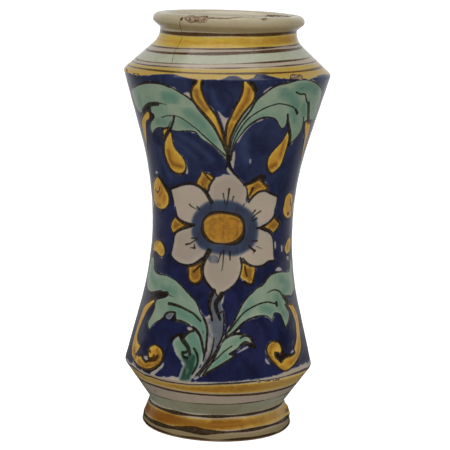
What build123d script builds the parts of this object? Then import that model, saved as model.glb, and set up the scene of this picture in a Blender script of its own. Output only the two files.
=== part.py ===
from build123d import *
import math
import os

# A waisted drug jar of tin-glazed earthenware, standing on its foot.
# The frame has its origin in the middle of the standing face and +Z up the jar's axis.
# Every piece is a ring or disc turned about +Z. All lengths are in millimetres.
# The wall is drawn as one outline of corners, each with a radius, a height and a round.
# Heights are given as the rise of each section above the one below it.

# Glazed outside: the flared foot
foot_radius = 51.3
foot_edge_height = 5.6
foot_edge_inset = 1.0
foot_flare_round = 12.0
foot_rise = 11.8
groove_radius = 46.0
groove_round = 0.8

# Glazed outside: heel, waist and shoulder
heel_rise = 25.9
heel_radius = 63.9
heel_round = 1.6
lower_barrel_rise = 97.7
waist_guide_radius = 39.6
waist_round = 220.0
upper_barrel_rise = 101.2
shoulder_radius = 69.3
shoulder_round = 2.6

# Glazed outside: neck and rolled lip
shoulder_rise = 21.6
neck_radius = 45.5
neck_round = 14.0
neck_rise = 6.8
undercut_round = 1.2
lip_overhang = 5.0
lip_underside_rise = 4.0
lip_underside_round = 2.4
lip_band_rise = 5.4
lip_outer_round = 3.8
lip_inner_round = 4.5

# Wall, glaze and inside
wall = 6.0
glaze_coat = 0.5
inside_shoulder_round = 10.0
inside_heel_round = 12.0
inside_floor_round = 8.0

# Base: a shallow recess leaves a bare ring that the jar stands on
floor_thickness = 10.5
recess_depth = 3.5
recess_draft = 1.0
standing_ring_width = 7.8
standing_edge_round = 0.8
unglazed_height = 1.2

# How far the dividing shapes reach past the wall
overrun = 4.0

# The most of a straight stretch that the rounds at its two ends may take up together
longest_round_share = 0.98

groove_height = foot_edge_height + foot_rise
heel_height = groove_height + heel_rise
waist_height = heel_height + lower_barrel_rise
shoulder_height = waist_height + upper_barrel_rise
neck_height = shoulder_height + shoulder_rise
undercut_height = neck_height + neck_rise
lip_widest_height = undercut_height + lip_underside_rise
overall_height = lip_widest_height + lip_band_rise
lip_radius = neck_radius + lip_overhang
mouth_radius = neck_radius - wall
floor_height = recess_depth + floor_thickness
recess_radius = foot_radius - glaze_coat - standing_ring_width

# The outside, from the standing face up to the widest part of the lip
standing_edge = (foot_radius, 0, 0)
foot_edge = (foot_radius - foot_edge_inset, foot_edge_height, foot_flare_round)
groove = (groove_radius, groove_height, groove_round)
heel = (heel_radius, heel_height, heel_round)
waist = (waist_guide_radius, waist_height, waist_round)
shoulder = (shoulder_radius, shoulder_height, shoulder_round)
neck = (neck_radius, neck_height, neck_round)
undercut = (neck_radius, undercut_height, undercut_round)
lip_widest = (lip_radius, lip_widest_height, lip_underside_round)
outside = [standing_edge, foot_edge, groove, heel, waist, shoulder, neck, undercut, lip_widest]


def direction(start, end):
    """Unit vector from one corner to the next."""
    step_r = end[0] - start[0]
    step_z = end[1] - start[1]
    length = math.hypot(step_r, step_z)
    return step_r / length, step_z / length


def inset(corners, depth):
    """The same outline moved to its left by depth, which is into the clay on an outside
    that runs upwards. Each corner slides along its mitre and its round follows."""
    runs = [direction(start, end) for start, end in zip(corners, corners[1:])]
    moved = []
    for (radius, height, corner_round), before, after in zip(corners, runs[:1] + runs, runs + runs[-1:]):
        reach = depth / (1 + before[0] * after[0] + before[1] * after[1])
        turns_left = before[0] * after[1] > before[1] * after[0]
        moved_round = max(corner_round - depth, 0) if turns_left else corner_round + depth
        moved_radius = radius - (before[1] + after[1]) * reach
        moved_height = height + (before[0] + after[0]) * reach
        moved.append((moved_radius, moved_height, moved_round))
    return moved


def tangent_length(before, corner, after):
    """How much of each neighbouring stretch the round at a corner takes up."""
    arriving = direction(before, corner)
    leaving = direction(corner, after)
    turn = math.acos(max(-1, min(1, arriving[0] * leaving[0] + arriving[1] * leaving[1])))
    return corner[2] * math.tan(turn / 2)


def closed_face(corners):
    """A face in the XZ plane whose corners are rounded, each round limited by the length
    of the stretches beside it."""
    count = len(corners)
    lengths = []
    for index in range(count):
        lengths.append(tangent_length(corners[index - 1], corners[index], corners[(index + 1) % count]))
    rounds = []
    for index in range(count):
        fit = 1
        for neighbour in (index - 1, (index + 1) % count):
            stretch = math.dist(corners[index][:2], corners[neighbour][:2])
            wanted = lengths[index] + lengths[neighbour]
            if wanted > longest_round_share * stretch:
                fit = min(fit, longest_round_share * stretch / wanted)
        rounds.append(corners[index][2] * fit)
    points = [(radius, height) for radius, height, corner_round in corners]
    return Plane.XZ * make_face(FilletPolyline(*points, radius=rounds, close=True))


def zone(points):
    """A sharp-cornered dividing shape in the XZ plane."""
    return Plane.XZ * make_face(Polyline(*[point[:2] for point in points], close=True))


def stretch_of_wall(first, last, depth):
    """The outside from one of its corners up to another, moved in by depth."""
    return inset(outside, depth)[outside.index(first):outside.index(last) + 1]


def wall_zone(first, last, depth):
    """Dividing shape over the wall between two corners of the outside. It follows the wall
    from past the glaze inwards to depth, and its ends are the mitres at those corners."""
    corners = []
    for run in (stretch_of_wall(first, last, -overrun), stretch_of_wall(first, last, depth)[::-1]):
        corners += [(*run[0][:2], 0)] + run[1:-1] + [(*run[-1][:2], 0)]
    return closed_face(corners)


def lip_zone(first, depth):
    """Dividing shape over the lip, from the undercut round to the mouth, and down the
    mouth to the mitre at the first corner."""
    outer = stretch_of_wall(undercut, undercut, -overrun)
    inner = stretch_of_wall(first, undercut, depth)
    mouth = stretch_of_wall(first, first, wall + 2 * overrun)
    side = lip_radius + overrun
    top = overall_height + overrun
    return zone(outer + [(side, outer[0][1]), (side, top), (mouth[0][0], top)] + mouth + inner)


def inside_corners():
    """The glazed inside, from the mouth down to the middle of the floor."""
    inner = dict(zip(outside, inset(outside, wall)))
    down = direction(inner[heel], inner[groove])
    floor_corner_radius = inner[heel][0] + down[0] * (floor_height - inner[heel][1]) / down[1]
    return [
        (mouth_radius, overall_height, lip_inner_round),
        inner[neck],
        (*inner[shoulder][:2], inside_shoulder_round),
        inner[waist],
        (*inner[heel][:2], inside_heel_round),
        (floor_corner_radius, floor_height, inside_floor_round),
        (0, floor_height, 0),
    ]


glazed_outline = outside + [(lip_radius, overall_height, lip_outer_round)] + inside_corners()
clay_outline = inset(glazed_outline, glaze_coat)
underside = [
    (0, recess_depth, 0),
    (recess_radius, recess_depth, 0),
    (recess_radius + recess_draft, 0, standing_edge_round),
]
clay_start = [(foot_radius - glaze_coat, 0, standing_edge_round)]

# One section through the clay and one through the glaze, each divided at the mitres
clay = closed_face(clay_start + clay_outline[1:] + underside)
coat = closed_face(glazed_outline + underside) - clay
coat = coat - zone([
    (0, -overrun),
    (foot_radius + overrun, -overrun),
    (foot_radius + overrun, unglazed_height),
    (0, unglazed_height),
])

floor_corner = inside_corners()[-2]
up_seam = direction(underside[1], floor_corner)
floor_zone = zone([
    (0, recess_depth - overrun),
    underside[1],
    (floor_corner[0] + up_seam[0] * overrun, floor_corner[1] + up_seam[1] * overrun),
    (0, floor_height + overrun),
])
clay_zones = {
    "floor_disc": floor_zone,
    "heel_section": wall_zone(groove, heel, wall + overrun),
    "waisted_barrel": wall_zone(heel, shoulder, wall + overrun),
    "shoulder_section": wall_zone(shoulder, undercut, wall + overrun),
    "rolled_lip": lip_zone(undercut, wall + overrun),
}
glaze_zones = {
    "foot_glaze": wall_zone(standing_edge, groove, wall / 2),
    "heel_glaze": wall_zone(groove, heel, wall / 2),
    "barrel_glaze": wall_zone(heel, shoulder, wall / 2),
    "shoulder_glaze": wall_zone(shoulder, undercut, wall / 2),
    "lip_glaze": lip_zone(neck, wall / 2),
}


def divide(section, zones, remainder):
    """Sections of the pieces inside each zone, and of the one that is left."""
    pieces = {}
    rest = section
    for name, shape in zones.items():
        pieces[name] = section & shape
        rest = rest - shape
    pieces[remainder] = rest
    return pieces


sections = divide(clay, clay_zones, "foot_ring")
sections.update(divide(coat, glaze_zones, "interior_glaze"))

os.makedirs("parts", exist_ok=True)
for name, section in sections.items():
    ring = revolve(section, Axis.Z)
    ring.label = name
    export_step(ring, f"parts/{name}.step")

inside_shoulder, throat = stretch_of_wall(shoulder, neck, wall)
throat_round_reach = tangent_length((mouth_radius, overall_height), throat, inside_shoulder)
print("overall height", overall_height, "greatest radius", shoulder_radius)
print("mouth wall radius", mouth_radius)
print("mouth wall from", throat[1] + throat_round_reach, "to", overall_height - lip_inner_round)
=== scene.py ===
import math

import bmesh
import bpy
import numpy as np
from mathutils import Matrix, Vector


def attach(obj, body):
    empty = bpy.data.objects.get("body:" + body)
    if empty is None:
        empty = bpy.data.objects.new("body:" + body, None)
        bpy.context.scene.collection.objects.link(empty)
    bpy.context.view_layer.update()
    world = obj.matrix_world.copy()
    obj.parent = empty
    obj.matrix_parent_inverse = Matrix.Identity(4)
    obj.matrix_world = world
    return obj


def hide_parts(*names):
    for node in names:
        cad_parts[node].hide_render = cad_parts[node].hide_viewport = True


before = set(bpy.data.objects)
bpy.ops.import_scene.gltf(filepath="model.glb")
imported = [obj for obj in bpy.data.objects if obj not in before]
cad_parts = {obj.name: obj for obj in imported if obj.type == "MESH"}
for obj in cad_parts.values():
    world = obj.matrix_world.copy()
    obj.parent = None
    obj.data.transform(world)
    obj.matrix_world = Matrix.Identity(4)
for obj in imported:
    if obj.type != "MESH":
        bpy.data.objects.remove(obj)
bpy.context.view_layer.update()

# A waisted drug jar of tin-glazed earthenware, painted in blue, green, yellow and manganese brown.
# Lengths below are millimetres unless a name says otherwise. The jar stands on z = 0 and turns
# about z. An azimuth is measured from the front, which faces -y, and grows towards +x.
MM = 0.001

# The glazed wall as corners of radius, height and round, from the foot up, over the lip and
# down inside to the middle of the floor
WALL = [
    (51.3, 0.0, 0.0),
    (50.3, 5.6, 12.0),
    (46.0, 17.4, 0.8),
    (63.9, 43.3, 1.6),
    (39.6, 141.0, 220.0),
    (69.3, 242.2, 2.6),
    (45.5, 263.8, 14.0),
    (45.5, 270.6, 1.2),
    (50.5, 274.6, 2.4),
    (50.5, 280.0, 3.8),
    (39.5, 280.0, 4.5),
    (39.5, 261.14, 20.0),
    (62.48, 240.28, 10.0),
    (33.38, 141.13, 226.0),
    (57.42, 44.48, 12.0),
    (36.36, 14.0, 8.0),
    (0.0, 14.0, 0.0),
]
GROOVE, HEEL, SHOULDER, UNDERCUT, CREST, THROAT = 2, 3, 5, 7, 9, 11

# The most of a stretch that the rounds at its ends may take up, the spacing of points on a round,
# how far each way the wall's slope is read, where the glaze starts and how thick it is
longest_round_share = 0.98
arc_spacing = 0.4
slope_reach = 0.2
glaze_start_height = 1.2
coat = 0.5

# At the front the lip stands a little higher than the turned profile, from this height up
lip_foot = 275.0
lip_rise = 1.2

# The fineness of the painted surface, and of the plain one inside
chart_columns = 800
row_spacing = 0.42
inner_rows = 24
inner_columns = 24
interior_columns = 192
interior_row_spacing = 1.7

# The photograph's frame and the camera that was fitted to it, in millimetres and degrees
frame_pixels = 450
camera_place = np.array([0.0, -1160.0, 350.0])
camera_pitch = 10.382
camera_yaw = 0.089
camera_roll = 1.822
focal_pixels = 1736.8
sensor_width = 36.0


def unit_columns(first, second):
    """Unit vectors from each point of one array to the same point of another."""
    step = second - first
    return step / np.linalg.norm(step, axis=-1, keepdims=True)


def rounded_wall():
    """The wall as one fine line of radius and height. Each corner is an arc tangent to its two
    stretches, scaled down where two rounds want more than their stretch. Also gives the index of
    the middle of every corner's arc."""
    corners = np.array(WALL)
    points = corners[:, :2]
    runs = unit_columns(points[:-1], points[1:])
    lengths = np.linalg.norm(points[1:] - points[:-1], axis=1)
    turns = np.zeros(len(points))
    cosines = np.clip((runs[:-1] * runs[1:]).sum(1), -1, 1)
    turns[1:-1] = np.arccos(cosines)
    wanted = corners[:, 2] * np.tan(turns / 2)
    shared = np.maximum(wanted[:-1] + wanted[1:], 1e-9)
    stretch_fit = np.minimum(1, longest_round_share * lengths / shared)
    fit = np.minimum(np.append(1, stretch_fit), np.append(stretch_fit, 1))
    line = [points[:1]]
    middles = {}
    for place in range(1, len(points) - 1):
        radius = corners[place, 2] * fit[place]
        reach = radius * math.tan(turns[place] / 2)
        before, after = runs[place - 1], runs[place]
        side = np.sign(before[0] * after[1] - before[1] * after[0])
        centre = points[place] - before * reach + side * radius * np.array([-before[1], before[0]])
        steps = max(4, int(radius * turns[place] / arc_spacing))
        angles = side * turns[place] * np.linspace(0, 1, steps)
        spoke = points[place] - before * reach - centre
        arc = np.stack([
            spoke[0] * np.cos(angles) - spoke[1] * np.sin(angles),
            spoke[0] * np.sin(angles) + spoke[1] * np.cos(angles),
        ], 1) + centre
        middles[place] = sum(len(part) for part in line) + steps // 2
        line.append(arc)
    line.append(points[-1:])
    return np.concatenate(line), middles


wall_line, corner_middles = rounded_wall()
wall_run = np.append(0, np.cumsum(np.linalg.norm(np.diff(wall_line, axis=0), axis=1)))

# The outside, from the standing face up to the lip's crest, where a height has one wall point
outside_end = corner_middles[CREST]
outside_heights = np.maximum.accumulate(wall_line[:outside_end, 1])


def outside_run(height):
    """Length along the wall at each height of the outside."""
    return np.interp(height, outside_heights, wall_run[:outside_end])


def outside_radius(height):
    """Radius at each height of the outside."""
    return np.interp(height, outside_heights, wall_line[:outside_end, 0])


def wall_point(run):
    """Radius and height of the wall at each length along it."""
    return np.interp(run, wall_run, wall_line[:, 0]), np.interp(run, wall_run, wall_line[:, 1])


def wall_at(run):
    """Radius, height and outward normal of the wall at each length along it."""
    radius, height = wall_point(run)
    ahead, back = wall_point(run + slope_reach), wall_point(run - slope_reach)
    step_r, step_z = ahead[0] - back[0], ahead[1] - back[1]
    length = np.maximum(np.hypot(step_r, step_z), 1e-9)
    return radius, height, step_z / length, -step_r / length


# The length along the wall of every corner's middle, and of the glaze's lower edge
corner_run = {corner: wall_run[middle] for corner, middle in corner_middles.items()}
corner_run[0] = float(outside_run(glaze_start_height))


def view_axes():
    """The camera's forward, right and up directions."""
    pitch, yaw, roll = (math.radians(angle) for angle in (camera_pitch, camera_yaw, camera_roll))
    forward = np.array([
        math.sin(yaw) * math.cos(pitch),
        math.cos(yaw) * math.cos(pitch),
        -math.sin(pitch),
    ])
    level = np.array([math.cos(yaw), -math.sin(yaw), 0])
    above = np.cross(level, forward)
    right = level * math.cos(roll) + above * math.sin(roll)
    up = above * math.cos(roll) - level * math.sin(roll)
    return forward, right, up


# Close to the jar's outline a pixel covers a wide stretch of wall, so what is traced past this
# azimuth is drawn together a little
rim_azimuth = math.radians(70)
rim_squeeze = 0.55

# How far from the camera a line of sight is searched for the wall and for the lip: nearest,
# farthest and how many places between
wall_search = (1050, 1260, 1400)
crest_search = (1080, 1260, 3000)


def sight_lines(pixels):
    """The direction of view through each pixel of the photograph's frame."""
    pixels = np.asarray(pixels, float)
    forward, right, up = view_axes()
    half = frame_pixels / 2
    rays = forward + np.outer((pixels[:, 0] - half) / focal_pixels, right)
    return rays + np.outer((half - pixels[:, 1]) / focal_pixels, up)


def onto_crest(pixels):
    """Where the line of sight through each pixel first meets the rolled lip, with its crest and
    the mouth's edge: its azimuth, and the length along the wall of the nearest wall point."""
    rays = sight_lines(pixels)
    reach = np.linspace(*crest_search)
    places = camera_place + rays[:, None, :] * reach[None, :, None]
    radius = np.hypot(places[..., 0], places[..., 1])
    height = places[..., 2] - lip_rise * np.clip(-places[..., 1] / radius, 0, 1)
    outer = outside_radius(height)
    mouth = slice(corner_middles[CREST + 1], corner_middles[THROAT])
    inner = np.interp(-height, -wall_line[mouth, 1], wall_line[mouth, 0])
    inside = (radius < outer) & (radius > inner) & (height < WALL[CREST][1])
    miss = np.abs(radius - outer) + np.abs(height - WALL[CREST][1])
    hit = np.where(inside.any(1), inside.argmax(1), miss.argmin(1))
    rows = np.arange(len(hit))
    lip = slice(corner_middles[UNDERCUT], corner_middles[THROAT])
    gap = np.hypot(
        radius[rows, hit][:, None] - wall_line[None, lip, 0],
        height[rows, hit][:, None] - wall_line[None, lip, 1],
    )
    azimuth = np.arctan2(places[rows, hit, 0], -places[rows, hit, 1])
    return azimuth, wall_run[lip][gap.argmin(1)]


def onto_wall(pixels):
    """Where the line of sight through each pixel first meets the outside of the jar: its azimuth
    in radians and its length along the wall. A pixel just off the jar goes to the nearest edge."""
    rays = sight_lines(pixels)
    reach = np.linspace(*wall_search)
    places = camera_place + rays[:, None, :] * reach[None, :, None]
    depth = np.hypot(places[..., 0], places[..., 1]) - outside_radius(places[..., 2])
    inside = depth < 0
    hit = np.where(inside.any(1), inside.argmax(1), depth.argmin(1))
    place = places[np.arange(len(pixels)), hit]
    azimuth = np.arctan2(place[:, 0], -place[:, 1])
    past = np.maximum(np.abs(azimuth) - rim_azimuth, 0)
    return azimuth - np.sign(azimuth) * past * (1 - rim_squeeze), outside_run(place[:, 2])


def front_height(pixel_row):
    """Height of the wall point seen at this row of the middle column."""
    run = onto_wall([(frame_pixels / 2, pixel_row)])[1]
    return float(wall_point(run)[1][0])


# How many points a smooth line has for each point that was traced
curve_steps = 5


def smooth_line(points, closed):
    """A Catmull-Rom curve through the points. A point given twice stays a sharp corner."""
    points = np.asarray(points, float)
    if closed:
        ring = np.concatenate([points[-1:], points, points[:2]])
    else:
        ring = np.concatenate([points[:1], points, points[-1:]])
    share = (np.arange(curve_steps) / curve_steps)[:, None]
    pieces = []
    for before, start, end, after in zip(ring, ring[1:], ring[2:], ring[3:]):
        if np.allclose(start, end):
            continue
        bend = (end - before) * share + (2 * before - 5 * start + 4 * end - after) * share ** 2
        bend = bend + (3 * start - before - 3 * end + after) * share ** 3
        pieces.append(start + bend / 2)
    if not closed:
        pieces.append(points[-1:])
    return np.concatenate(pieces)


# Radii at which a length becomes an azimuth: a middling one, and one near the wall's least
middling_radius = 55
least_radius = 42


def wave(seed, azimuth, run, size):
    """A smooth wandering value between about -1 and 1: a third of the sum of six seeded sine waves
    over the unrolled wall, which close on themselves round the jar. Size is about the length
    of the shortest."""
    draw = np.random.default_rng(seed)
    total = np.zeros(np.broadcast(azimuth, run).shape)
    turns = max(1, round(2 * math.pi * middling_radius / size))
    for _ in range(6):
        around = draw.integers(-turns, turns + 1)
        along = draw.uniform(-1, 1) * 2 * math.pi / size
        total += np.sin(around * azimuth + along * run + draw.uniform(0, 2 * math.pi))
    return total / 3


class Chart:
    """The painted outside, unrolled: a grid of azimuths and lengths along the wall between two
    corners, with one value per point for each colour. A colour's value is how far inside its
    painted area the point lies, in millimetres, and is negative outside."""

    colours = (
        "ink", "cobalt", "copper", "deep_green", "ochre", "burnt", "wash", "mauve", "celadon", "thick",
        "chip", "bare_white", "brushed", "greyed",
    )
    far = 8.0

    def __init__(self, first, last):
        start, end = corner_run[first], corner_run[last]
        rows = int(math.ceil((end - start) / row_spacing)) + 1
        self.run = np.linspace(start, end, rows)
        self.azimuth = np.linspace(-math.pi, math.pi, chart_columns + 1)
        self.radius, self.height, self.normal_r, self.normal_z = wall_at(self.run)
        shape = (rows, chart_columns + 1)
        self.value = {name: np.full(shape, -self.far) for name in self.colours}

    def window(self, azimuth, run, margin):
        """Rows and columns of the grid around some points, columns wrapped round the jar."""
        rows = np.flatnonzero((self.run > run.min() - margin) & (self.run < run.max() + margin))
        if not len(rows):
            return None
        spread = margin / least_radius
        step = self.azimuth[1] - self.azimuth[0]
        low = int(math.floor((azimuth.min() - spread + math.pi) / step))
        high = int(math.ceil((azimuth.max() + spread + math.pi) / step))
        columns = np.arange(low, min(high, low + chart_columns - 1) + 1)
        return rows, columns % chart_columns, columns * step - math.pi

    def distance(self, azimuth, run, window, closed, widths=0):
        """Distance from each grid point of the window to the line through the given points,
        less the line's half width there, which is one number or goes from point to point."""
        rows, _, around = window
        widths = np.broadcast_to(widths, len(run))
        radius = self.radius[rows][:, None]
        grid_run = self.run[rows][:, None]
        nearest = np.full((len(rows), len(around)), 1e6)
        count = len(azimuth) if closed else len(azimuth) - 1
        for place in range(count):
            other = (place + 1) % len(azimuth)
            start_x = (azimuth[place] - around)[None, :] * radius
            start_y = run[place] - grid_run
            step_x = (azimuth[other] - azimuth[place]) * radius
            step_y = run[other] - run[place]
            share = -(start_x * step_x + start_y * step_y) / (step_x ** 2 + step_y ** 2 + 1e-9)
            share = np.clip(share, 0, 1)
            gap = np.hypot(start_x + share * step_x, start_y + share * step_y)
            half_width = widths[place] + share * (widths[other] - widths[place])
            nearest = np.minimum(nearest, gap - half_width)
        return nearest

    def enclosed(self, azimuth, run, window):
        """Whether each grid point of the window lies inside the closed line."""
        rows, _, around = window
        x, y = around[None, :], self.run[rows][:, None]
        odd = np.zeros((len(rows), len(around)), bool)
        for place in range(len(azimuth)):
            other = (place + 1) % len(azimuth)
            crosses = (run[place] > y) != (run[other] > y)
            rise = run[other] - run[place]
            at = azimuth[place] + (y - run[place]) * (azimuth[other] - azimuth[place]) / (rise + 1e-12)
            odd ^= crosses & (x < at)
        return odd

    def lay(self, colour, window, depth):
        """Adds a painted area: the value becomes the greater of the old and the new depth."""
        rows, columns, _ = window
        spot = np.ix_(rows, columns)
        self.value[colour][spot] = np.maximum(self.value[colour][spot], depth)

    def raise_to(self, colour, depth):
        """Adds a painted area over the whole chart in the same way."""
        self.value[colour] = np.maximum(self.value[colour], depth)

    def area(self, colour, azimuth, run, grow=0.0, most=far):
        """Paints inside a closed line, the depth moved by grow and held under most."""
        window = self.window(azimuth, run, self.far)
        if window is None:
            return
        gap = self.distance(azimuth, run, window, True)
        depth = np.where(self.enclosed(azimuth, run, window), gap, -gap)
        self.lay(colour, window, np.clip(depth + grow, -self.far, most))

    def stroke(self, colour, azimuth, run, widths, closed=False):
        """Draws a brush line of these half widths."""
        window = self.window(azimuth, run, self.far / 2)
        if window is None:
            return
        gap = self.distance(azimuth, run, window, closed, widths)
        self.lay(colour, window, np.clip(-gap, -self.far, self.far))

    def ring(self, colour, heights, half_width):
        """Draws a line right round the jar at the height given for each azimuth."""
        self.raise_to(colour, half_width - np.abs(self.run[:, None] - outside_run(heights)[None, :]))

    def band(self, colour, low, high):
        """Paints between two heights, each given for every azimuth."""
        here = self.run[:, None]
        depth = np.minimum(here - outside_run(low)[None, :], outside_run(high)[None, :] - here)
        self.raise_to(colour, np.clip(depth, -self.far, self.far))


charts = {
    "foot": Chart(0, GROOVE),
    "heel": Chart(GROOVE, HEEL),
    "barrel": Chart(HEEL, SHOULDER),
    "shoulder": Chart(SHOULDER, UNDERCUT),
    "lip": Chart(UNDERCUT, THROAT),
}
around = charts["barrel"].azimuth


def waver(seed, size):
    """The wave along a line that runs level round the jar, one value for each azimuth."""
    return wave(seed, around, 0 * around, size)


# The painted motifs on the front, traced from the photograph as pixels of its frame.
# A point that stands twice is a sharp corner.
LEAF_UPPER_LEFT = [
    (194, 102.5), (190, 99), (186, 96), (181, 93), (175, 89.5), (169, 86.5), (163, 84.5), (157, 83.4),
    (150, 82.7), (144, 83), (139, 84.3), (135, 86.5), (131.5, 88.5), (130.5, 92), (132, 97), (134, 102),
    (136, 107), (138.5, 110.5), (141.5, 112.8), (141.5, 112.8), (143.5, 110), (146.5, 107), (150, 105.5),
    (150.5, 109), (151.2, 112.5), (153.5, 114.5), (154, 117), (152.5, 119.7), (150.5, 123), (150, 127.5),
    (151, 131.5), (152.6, 135), (152.6, 135), (154, 131.5), (156, 129), (159, 127.7), (163, 128),
    (168, 128), (171, 130), (177, 131.3), (184, 131), (191, 131), (196, 132.5), (199, 136.5), (203, 140),
    (209, 143.5), (214, 147.2), (219, 151.8), (223, 156.5), (226, 161), (226, 161), (226.5, 153),
    (222.5, 144), (218, 135), (213, 126.5), (207, 119), (200, 110.8),
]
LEAF_UPPER_RIGHT = [
    (256, 101), (260, 97), (264, 94), (269, 90), (275, 86.3), (281, 84), (287, 83), (293, 81.3),
    (300, 79.9), (306, 79.8), (312, 81), (317, 83.3), (320.5, 86.5), (322, 91), (321.5, 97), (320, 103),
    (318, 109.5), (316, 115.5), (313.5, 120), (313.5, 120), (309, 120.5), (305.5, 121), (303, 124),
    (301.5, 130), (298.5, 134.5), (294.5, 139.5), (290.8, 143.5), (290.8, 143.5), (289.5, 137),
    (289, 129), (288, 121), (287, 118.5), (286.3, 123.5), (284, 127.3), (281.5, 128.7), (281.5, 128.7),
    (279, 125.5), (277, 121.5), (274, 118.2), (269, 117.2), (263, 117.6), (257, 120), (252, 123.2),
    (247, 127.2), (243, 131.8), (239.5, 136.3), (236.5, 141), (234, 147), (232, 153), (231, 160),
    (231, 160), (230, 152), (231, 145), (233.5, 136.5), (237, 129), (241, 122.5), (246, 116),
    (251, 109.5),
]
LEAF_LOWER_LEFT = [
    (151, 255), (153.8, 257), (154.5, 263), (154.5, 268.5), (157, 272.5), (161, 274.3), (166, 275.3),
    (171, 277.5), (176, 280.5), (181, 285), (186, 290.5), (191, 296), (195.5, 301), (198.5, 307),
    (200.5, 313), (204, 317.8), (204, 317.8), (206.3, 324), (207, 332), (206.8, 340), (205.8, 347),
    (204.3, 352), (204.3, 352), (202.8, 346), (201.3, 339), (199.2, 332.5), (196, 328.3), (191, 326.5),
    (186.5, 323.8), (181, 322), (176, 321.5), (175.8, 317), (175.3, 312.5), (175.3, 312.5), (170, 312.3),
    (166.5, 313.8), (163.5, 317.3), (160, 320.3), (155.5, 322.5), (152, 326.3), (149.7, 330.5),
    (149.7, 330.5), (148, 326.5), (148.5, 321.3), (151.2, 316.5), (153.6, 311.5), (155, 306.5),
    (154.8, 302.3), (156.8, 299.3), (161, 298), (166, 296.8), (168, 294), (161, 291.3), (156, 292),
    (151.5, 292.5), (148.5, 290), (146.5, 285.5), (146.5, 279), (147.3, 272), (148.8, 264),
]
LEAF_LOWER_CENTRE = [
    (194, 329.5), (197.5, 332.5), (200, 338), (201.8, 344), (203.3, 350), (203.3, 356), (201.5, 362),
    (198.5, 367.5), (195, 372.5), (192, 377), (190.5, 381), (190.5, 381), (184, 382), (178.5, 380),
    (180, 374.5), (181.8, 369), (184, 364.5), (181.5, 360.8), (178.8, 357), (176.3, 353), (174.5, 348.5),
    (173, 343.5), (175, 339.5), (178.8, 336.5), (181.5, 338), (183.8, 340), (184.5, 336), (187, 333),
    (190.5, 331.5),
]
LEAF_LOWER_RIGHT = [
    (225.5, 336), (229, 330), (232.5, 324), (235.5, 318), (238.3, 312), (241.3, 306), (244.5, 300.8),
    (248.5, 296), (253, 292), (257, 288), (262, 285.3), (265.3, 281.3), (268, 277), (271.5, 274.3),
    (276.5, 272.5), (283, 271.8), (288.5, 271.3), (290, 266), (290, 260), (291.2, 256), (291.2, 256),
    (293, 263), (294, 271), (295, 279), (295.2, 287), (293.5, 292.5), (291, 296), (291, 296),
    (287, 295.8), (284, 297.5), (286, 302.5), (288, 308), (289.5, 314), (288.8, 320), (287.2, 325),
    (286, 328), (286, 328), (284, 324.5), (282.5, 320), (281, 315.8), (278, 313.3), (274.5, 313),
    (273.3, 316.5), (272.3, 320.8), (272.3, 320.8), (269.5, 317.8), (265.5, 315.8), (260, 315.8),
    (254, 317.2), (248, 319.7), (243, 323), (239, 327), (235, 331.3), (230, 334.8),
]
LEAF_BASE_RIGHT = [
    (222.5, 342.5), (226.5, 338.8), (231, 336), (236, 334.5), (241, 334.5), (246, 335.5), (250.5, 337.5),
    (252, 341), (253, 344), (253, 344), (249, 343.5), (245.5, 342), (242, 344), (239, 347.5),
    (235, 350.5), (231, 352.8), (229.5, 354), (229.5, 354), (233.5, 356), (231, 358.8), (226, 361.8),
    (221, 365), (216, 368.3), (211, 371), (206.5, 373.5), (202.5, 376), (202.5, 376), (205.5, 371),
    (209, 366.5), (212.5, 361), (215.5, 356), (218.5, 350.5), (221, 345.5),
]
LEAF_EDGE_LEFT = [
    (192.5, 99), (200, 110.8), (207, 119), (213, 126.5), (218, 135), (222.5, 144), (225.5, 151),
    (225.5, 151), (223.5, 146), (220, 138), (216, 130), (210, 120.5), (202, 111), (195, 104),
]
LEAF_EDGE_RIGHT = [
    (228, 150), (228, 150), (231.5, 140), (236, 130), (243, 119), (250, 110), (256, 101), (256, 101),
    (254, 100), (247, 109), (240, 119), (234, 128), (230.5, 138),
]
LEAVES = [
    LEAF_UPPER_LEFT, LEAF_UPPER_RIGHT, LEAF_LOWER_LEFT, LEAF_LOWER_RIGHT, LEAF_BASE_RIGHT,
]

STALK_LEFT = [
    (196.5, 79), (196, 83), (193, 86), (191.5, 90), (191.3, 95), (193, 100), (196, 104.5), (200, 109),
    (205, 114.5), (210, 120.5), (214, 126), (217, 132), (220, 138), (223, 144), (225.5, 150),
    (225.5, 150), (224.5, 141), (223, 134), (221, 127), (218.5, 121), (216, 115.5), (212, 110),
    (208, 104.5), (205, 99), (203, 94), (201.5, 89), (201.5, 84), (202.5, 79),
]
STALK_RIGHT = [
    (243, 82), (242.8, 88), (242, 93), (239.5, 99), (236, 105), (233, 111), (230.5, 117), (228, 122),
    (226.5, 127), (225.8, 133), (225.3, 139), (225.8, 145), (227.5, 150), (227.5, 150), (229.5, 144),
    (230.5, 138), (233, 131.5), (235.5, 126), (239, 120), (243, 114), (248, 108), (252.5, 102.5),
    (255, 97.5), (255, 92), (253.5, 87.5), (250, 84), (247.5, 80),
]
DROP_LEFT = [
    (169.5, 131.5), (169.5, 131.5), (167, 136), (165, 141), (164, 146), (164, 152), (165.2, 157.5),
    (167.5, 163), (170, 168), (173, 171.5), (177, 173.7), (181, 174), (184, 172.5), (186, 168.5),
    (185.5, 163), (183.5, 158.5), (180.5, 154.5), (177, 151), (174.5, 147), (173, 142.5), (172.3, 137),
    (171.5, 133),
]
DROP_RIGHT = [
    (287.5, 130.5), (287.5, 130.5), (285.5, 135), (282.5, 140.5), (278.5, 145), (274, 149.5),
    (270, 154.5), (267.3, 160), (266.8, 166), (268.5, 171), (271.5, 174), (271.5, 174), (275.5, 171),
    (279, 167.5), (282, 162), (284, 156), (286, 150), (287.8, 144), (289, 138), (288.5, 133),
]
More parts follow.
